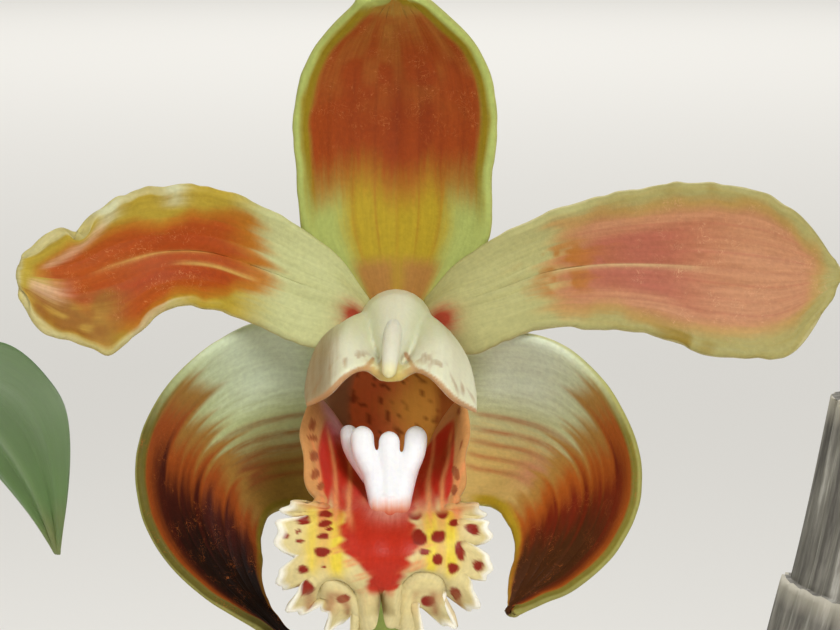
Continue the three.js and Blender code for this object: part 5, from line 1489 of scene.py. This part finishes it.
# Leaf: thin and pleated, satin above and paler below, with parallel veins along each pleat
def leafMaterial(name, ground, dark, vein, below, roughness):
    material, tree, shader = newMaterial(name, roughness)
    place = add(tree, "ShaderNodeTexCoord").outputs["Object"]
    spread = add(tree, "ShaderNodeUVMap", uv_map="spread")
    # fine lines 22 mm long and 0.7 mm wide, and clouds of 14 mm
    stretched = add(tree, "ShaderNodeMapping", {0: spread, "Scale": (1 / 22, 1.4, 1)})
    line = add(tree, "ShaderNodeTexNoise", {"Vector": stretched, "Scale": 1.0, "Detail": 4.0})
    cloud = add(tree, "ShaderNodeTexNoise", {"Vector": place, "Scale": 1 / (14 * mm), "Detail": 3.0})
    faint = add(tree, "ShaderNodeMath", [line, 0.4], operation="MULTIPLY")
    both = add(tree, "ShaderNodeMath", [cloud, 0.6, faint], operation="MULTIPLY_ADD")
    shown = add(tree, "ShaderNodeMapRange", {0: both, 1: 0.38, 2: 0.62})
    veins = add(tree, "ShaderNodeMath", ["vein", 0.5], operation="MULTIPLY")
    under = add(tree, "ShaderNodeMath", ["below", 0.6], operation="MULTIPLY")
    colour = layered(tree, ground, [(shown, dark), (veins, vein), ("midrib", vein), ("foot", "#b8bd7c"),
                                    ("dry", "#8a6a38"), (under, below)])
    shader.inputs["IOR"].default_value = 1.45
    glowing(shader, 0.12, 0.8, (0.5, 1.0, 0.25))
    relief = add(tree, "ShaderNodeMath", ["vein", 0.8, line], operation="MULTIPLY_ADD")
    dressed(tree, shader, colour, relief, 0.5, 0.25)
    return material


def makeBlade(name, leaf, base, material, rows, columns, thickness, pleat, dry=0.0):
    u, v, half = sheetGrid(rows, columns, thickness, 0.01, 0.02)
    points = bladePoints(leaf, base, u, v, pleat)
    edge = np.abs(v)
    looks = {
        "vein": hump(np.sin(np.pi * edge * 9), 0, 0.3) * (1 - ramp(0.9, 1, edge)),
        "midrib": 0.85 * hump(v, 0, 0.03) * (1 - 0.5 * u),
        "foot": 0.8 * (1 - ramp(0.0, 0.14, u)),
        "dry": dry * ramp(0.9, 1.0, u + 0.03 * uneven(u * 30, v * 3, leaf["heading"])),
    }
    spread = (u * leaf["length"], v * leaf["width"] / 2)
    return sheetPiece(name, points, half, looks, material, None, spread, "below", (0, 0, -1))


leafSkins = {
    "young": leafMaterial("young leaf, satin", "#6d9e3c", "#558a30", "#a4bf68", "#93b566", 0.42),
    "grown": leafMaterial("grown leaf, satin", "#47782f", "#346425", "#86a858", "#7a9a58", 0.4),
}
for i, leaf in enumerate(leaves):
    cane = canes[leaf["cane"]]
    young = cane["name"] == "new_shoot"
    reach = caneRadius(cane, leaf["at"]) * 0.5
    base = curveAt(cane["path"], leaf["at"]) + outward(leaf["heading"]) * reach
    skin, dry = (leafSkins["young"], 0.0) if young else (leafSkins["grown"], blade["dryTip"])
    name, sizes = f"leaf_{i + 1}_blade", (*grids["leaf"], blade["thickness"], blade["pleat"])
    piece = makeBlade(name, leaf, base, skin, *sizes, dry)
    finish(piece, f"leaf_{i + 1}")
print("leaves are made")

# The flowering stem, its bracts and its buds

stemMaterial = fleshMaterial(
    "flower stem, green flushed with red-brown", "#94a452", "#94a452",
    [("node", "#a9a76a"), ("flush", "#8d6a40")], patchy=0.12, scatter=0.1)
bractMaterial = leafMaterial("bract, green-yellow", "#a9ae62", "#939a50", "#c6c488", "#b4b67a", 0.5)
budMaterial = fleshMaterial(
    "bud skin, waxy green-yellow", "#bcc07a", "#bcc07a",
    [("seam", "#8f9a4e"), ("blush", "#c07a3a")], patchy=0.1, scatter=0.2)

buds = [
    {"at": 0.83, "facing": 238, "length": 24, "radius": 6.5, "stalk": 19},
    {"at": 0.89, "facing": 10, "length": 20, "radius": 5.4, "stalk": 16},
    {"at": 0.94, "facing": 140, "length": 17, "radius": 4.5, "stalk": 13},
    {"at": 0.985, "facing": 262, "length": 13, "radius": 3.5, "stalk": 9},
]
# bracts: place on the stem, heading, length and width; the last two stand bare below the blooms
bracts = [(one["at"], one["facing"], 11, 6.5) for one in blooms + buds]
bracts += [(0.12, 300, 16, 8), (0.24, 130, 15, 8)]


scape = {"girth": 3, "taper": 1.5, "ringWidth": 0.004, "ringSwell": 0.14}


# how far each place on the stem is in the ring of a node
def ringed(u):
    return sum(hump(u, at, scape["ringWidth"]) for at, *rest in bracts)


def stemGirth(u, angle):
    swell = 1 + scape["ringSwell"] * ringed(u) + 0.02 * np.cos(5 * angle)
    return (scape["girth"] - scape["taper"] * u) * swell


points, faces, share, angle = rodShape(scapePath, stemGirth, 330, 24, (0, 1, 0))
stem = meshObject("scape_skin", points, faces, stemMaterial)
addLooks(stem, {
    "inner": np.ones(len(share)), "node": np.clip(ringed(share), 0, 1),
    "flush": 0.6 * np.clip(uneven(share * 20, 0 * share, 4), 0, 1)}, share * 330, share * 0)
finish(stem, "scape")

for k, (at, facing, length, width) in enumerate(bracts):
    base = curveAt(scapePath, at) + outward(facing) * 0.8 - [0, 0, 4.5]
    leaf = {"heading": facing, "rise": 48, "droop": 8, "length": length, "width": width}
    piece = makeBlade(f"bract_{k + 1}", leaf, base, bractMaterial, 24, 16, 0.8, 0.0)
    finish(piece, "scape")


def makeBud(name, bud):
    ahead = unit(outward(bud["facing"]) + [0, 0, 0.55])
    node = curveAt(scapePath, bud["at"])
    stalk, length = bud["stalk"], bud["length"]

    def spot(reach, rise):
        return node + ahead * reach + np.array([0, 0, rise])

    def girth(u, angle):
        profile = np.sin(np.pi * np.clip(0.12 + 0.84 * u, 0, 1)) ** 0.8
        seam = hump(np.sin(1.5 * (angle - 0.35 * u)), 0, 0.09) * ramp(0.05, 0.3, u)
        return bud["radius"] * profile * (1 - 0.07 * seam + 0.03 * np.cos(3 * angle)) * roundedOff(u, 0.05)
    reference = (0.2, 0.3, 1)
    stalkPath = [spot(0, 0), spot(stalk * 0.5, 1), spot(stalk + 2, 1)]
    budPath = [spot(stalk, 1), spot(stalk + length * 0.5, 0.5), spot(stalk + length, -1)]
    stem = rodShape(stalkPath, lambda u, angle: 1.2 + 0.5 * u, 20, 20, reference)
    body = rodShape(budPath, girth, 56, 60, reference)
    piece = meshObject(name, *joined([stem, body]), budMaterial)
    u, angle, plain = body[2], body[3], np.zeros(len(stem[0]))
    seams = hump(np.sin(1.5 * (angle - 0.35 * u)), 0, 0.12) * ramp(0.05, 0.3, u)
    looks = {
        "inner": np.ones(len(plain) + len(u)),
        "seam": np.concatenate([plain, seams]),
        "blush": np.concatenate([plain, 0.75 * ramp(0.35, 0.9, u)]),
    }
    along = np.concatenate([stem[2] * stalk, u * length])
    addLooks(piece, looks, along, np.concatenate([plain, angle * bud["radius"]]))
    return piece


for k, bud in enumerate(buds):
    finish(makeBud(f"bud_{k + 1}_skin", bud), f"bud_{k + 1}")
print("stem, bracts and buds are made")
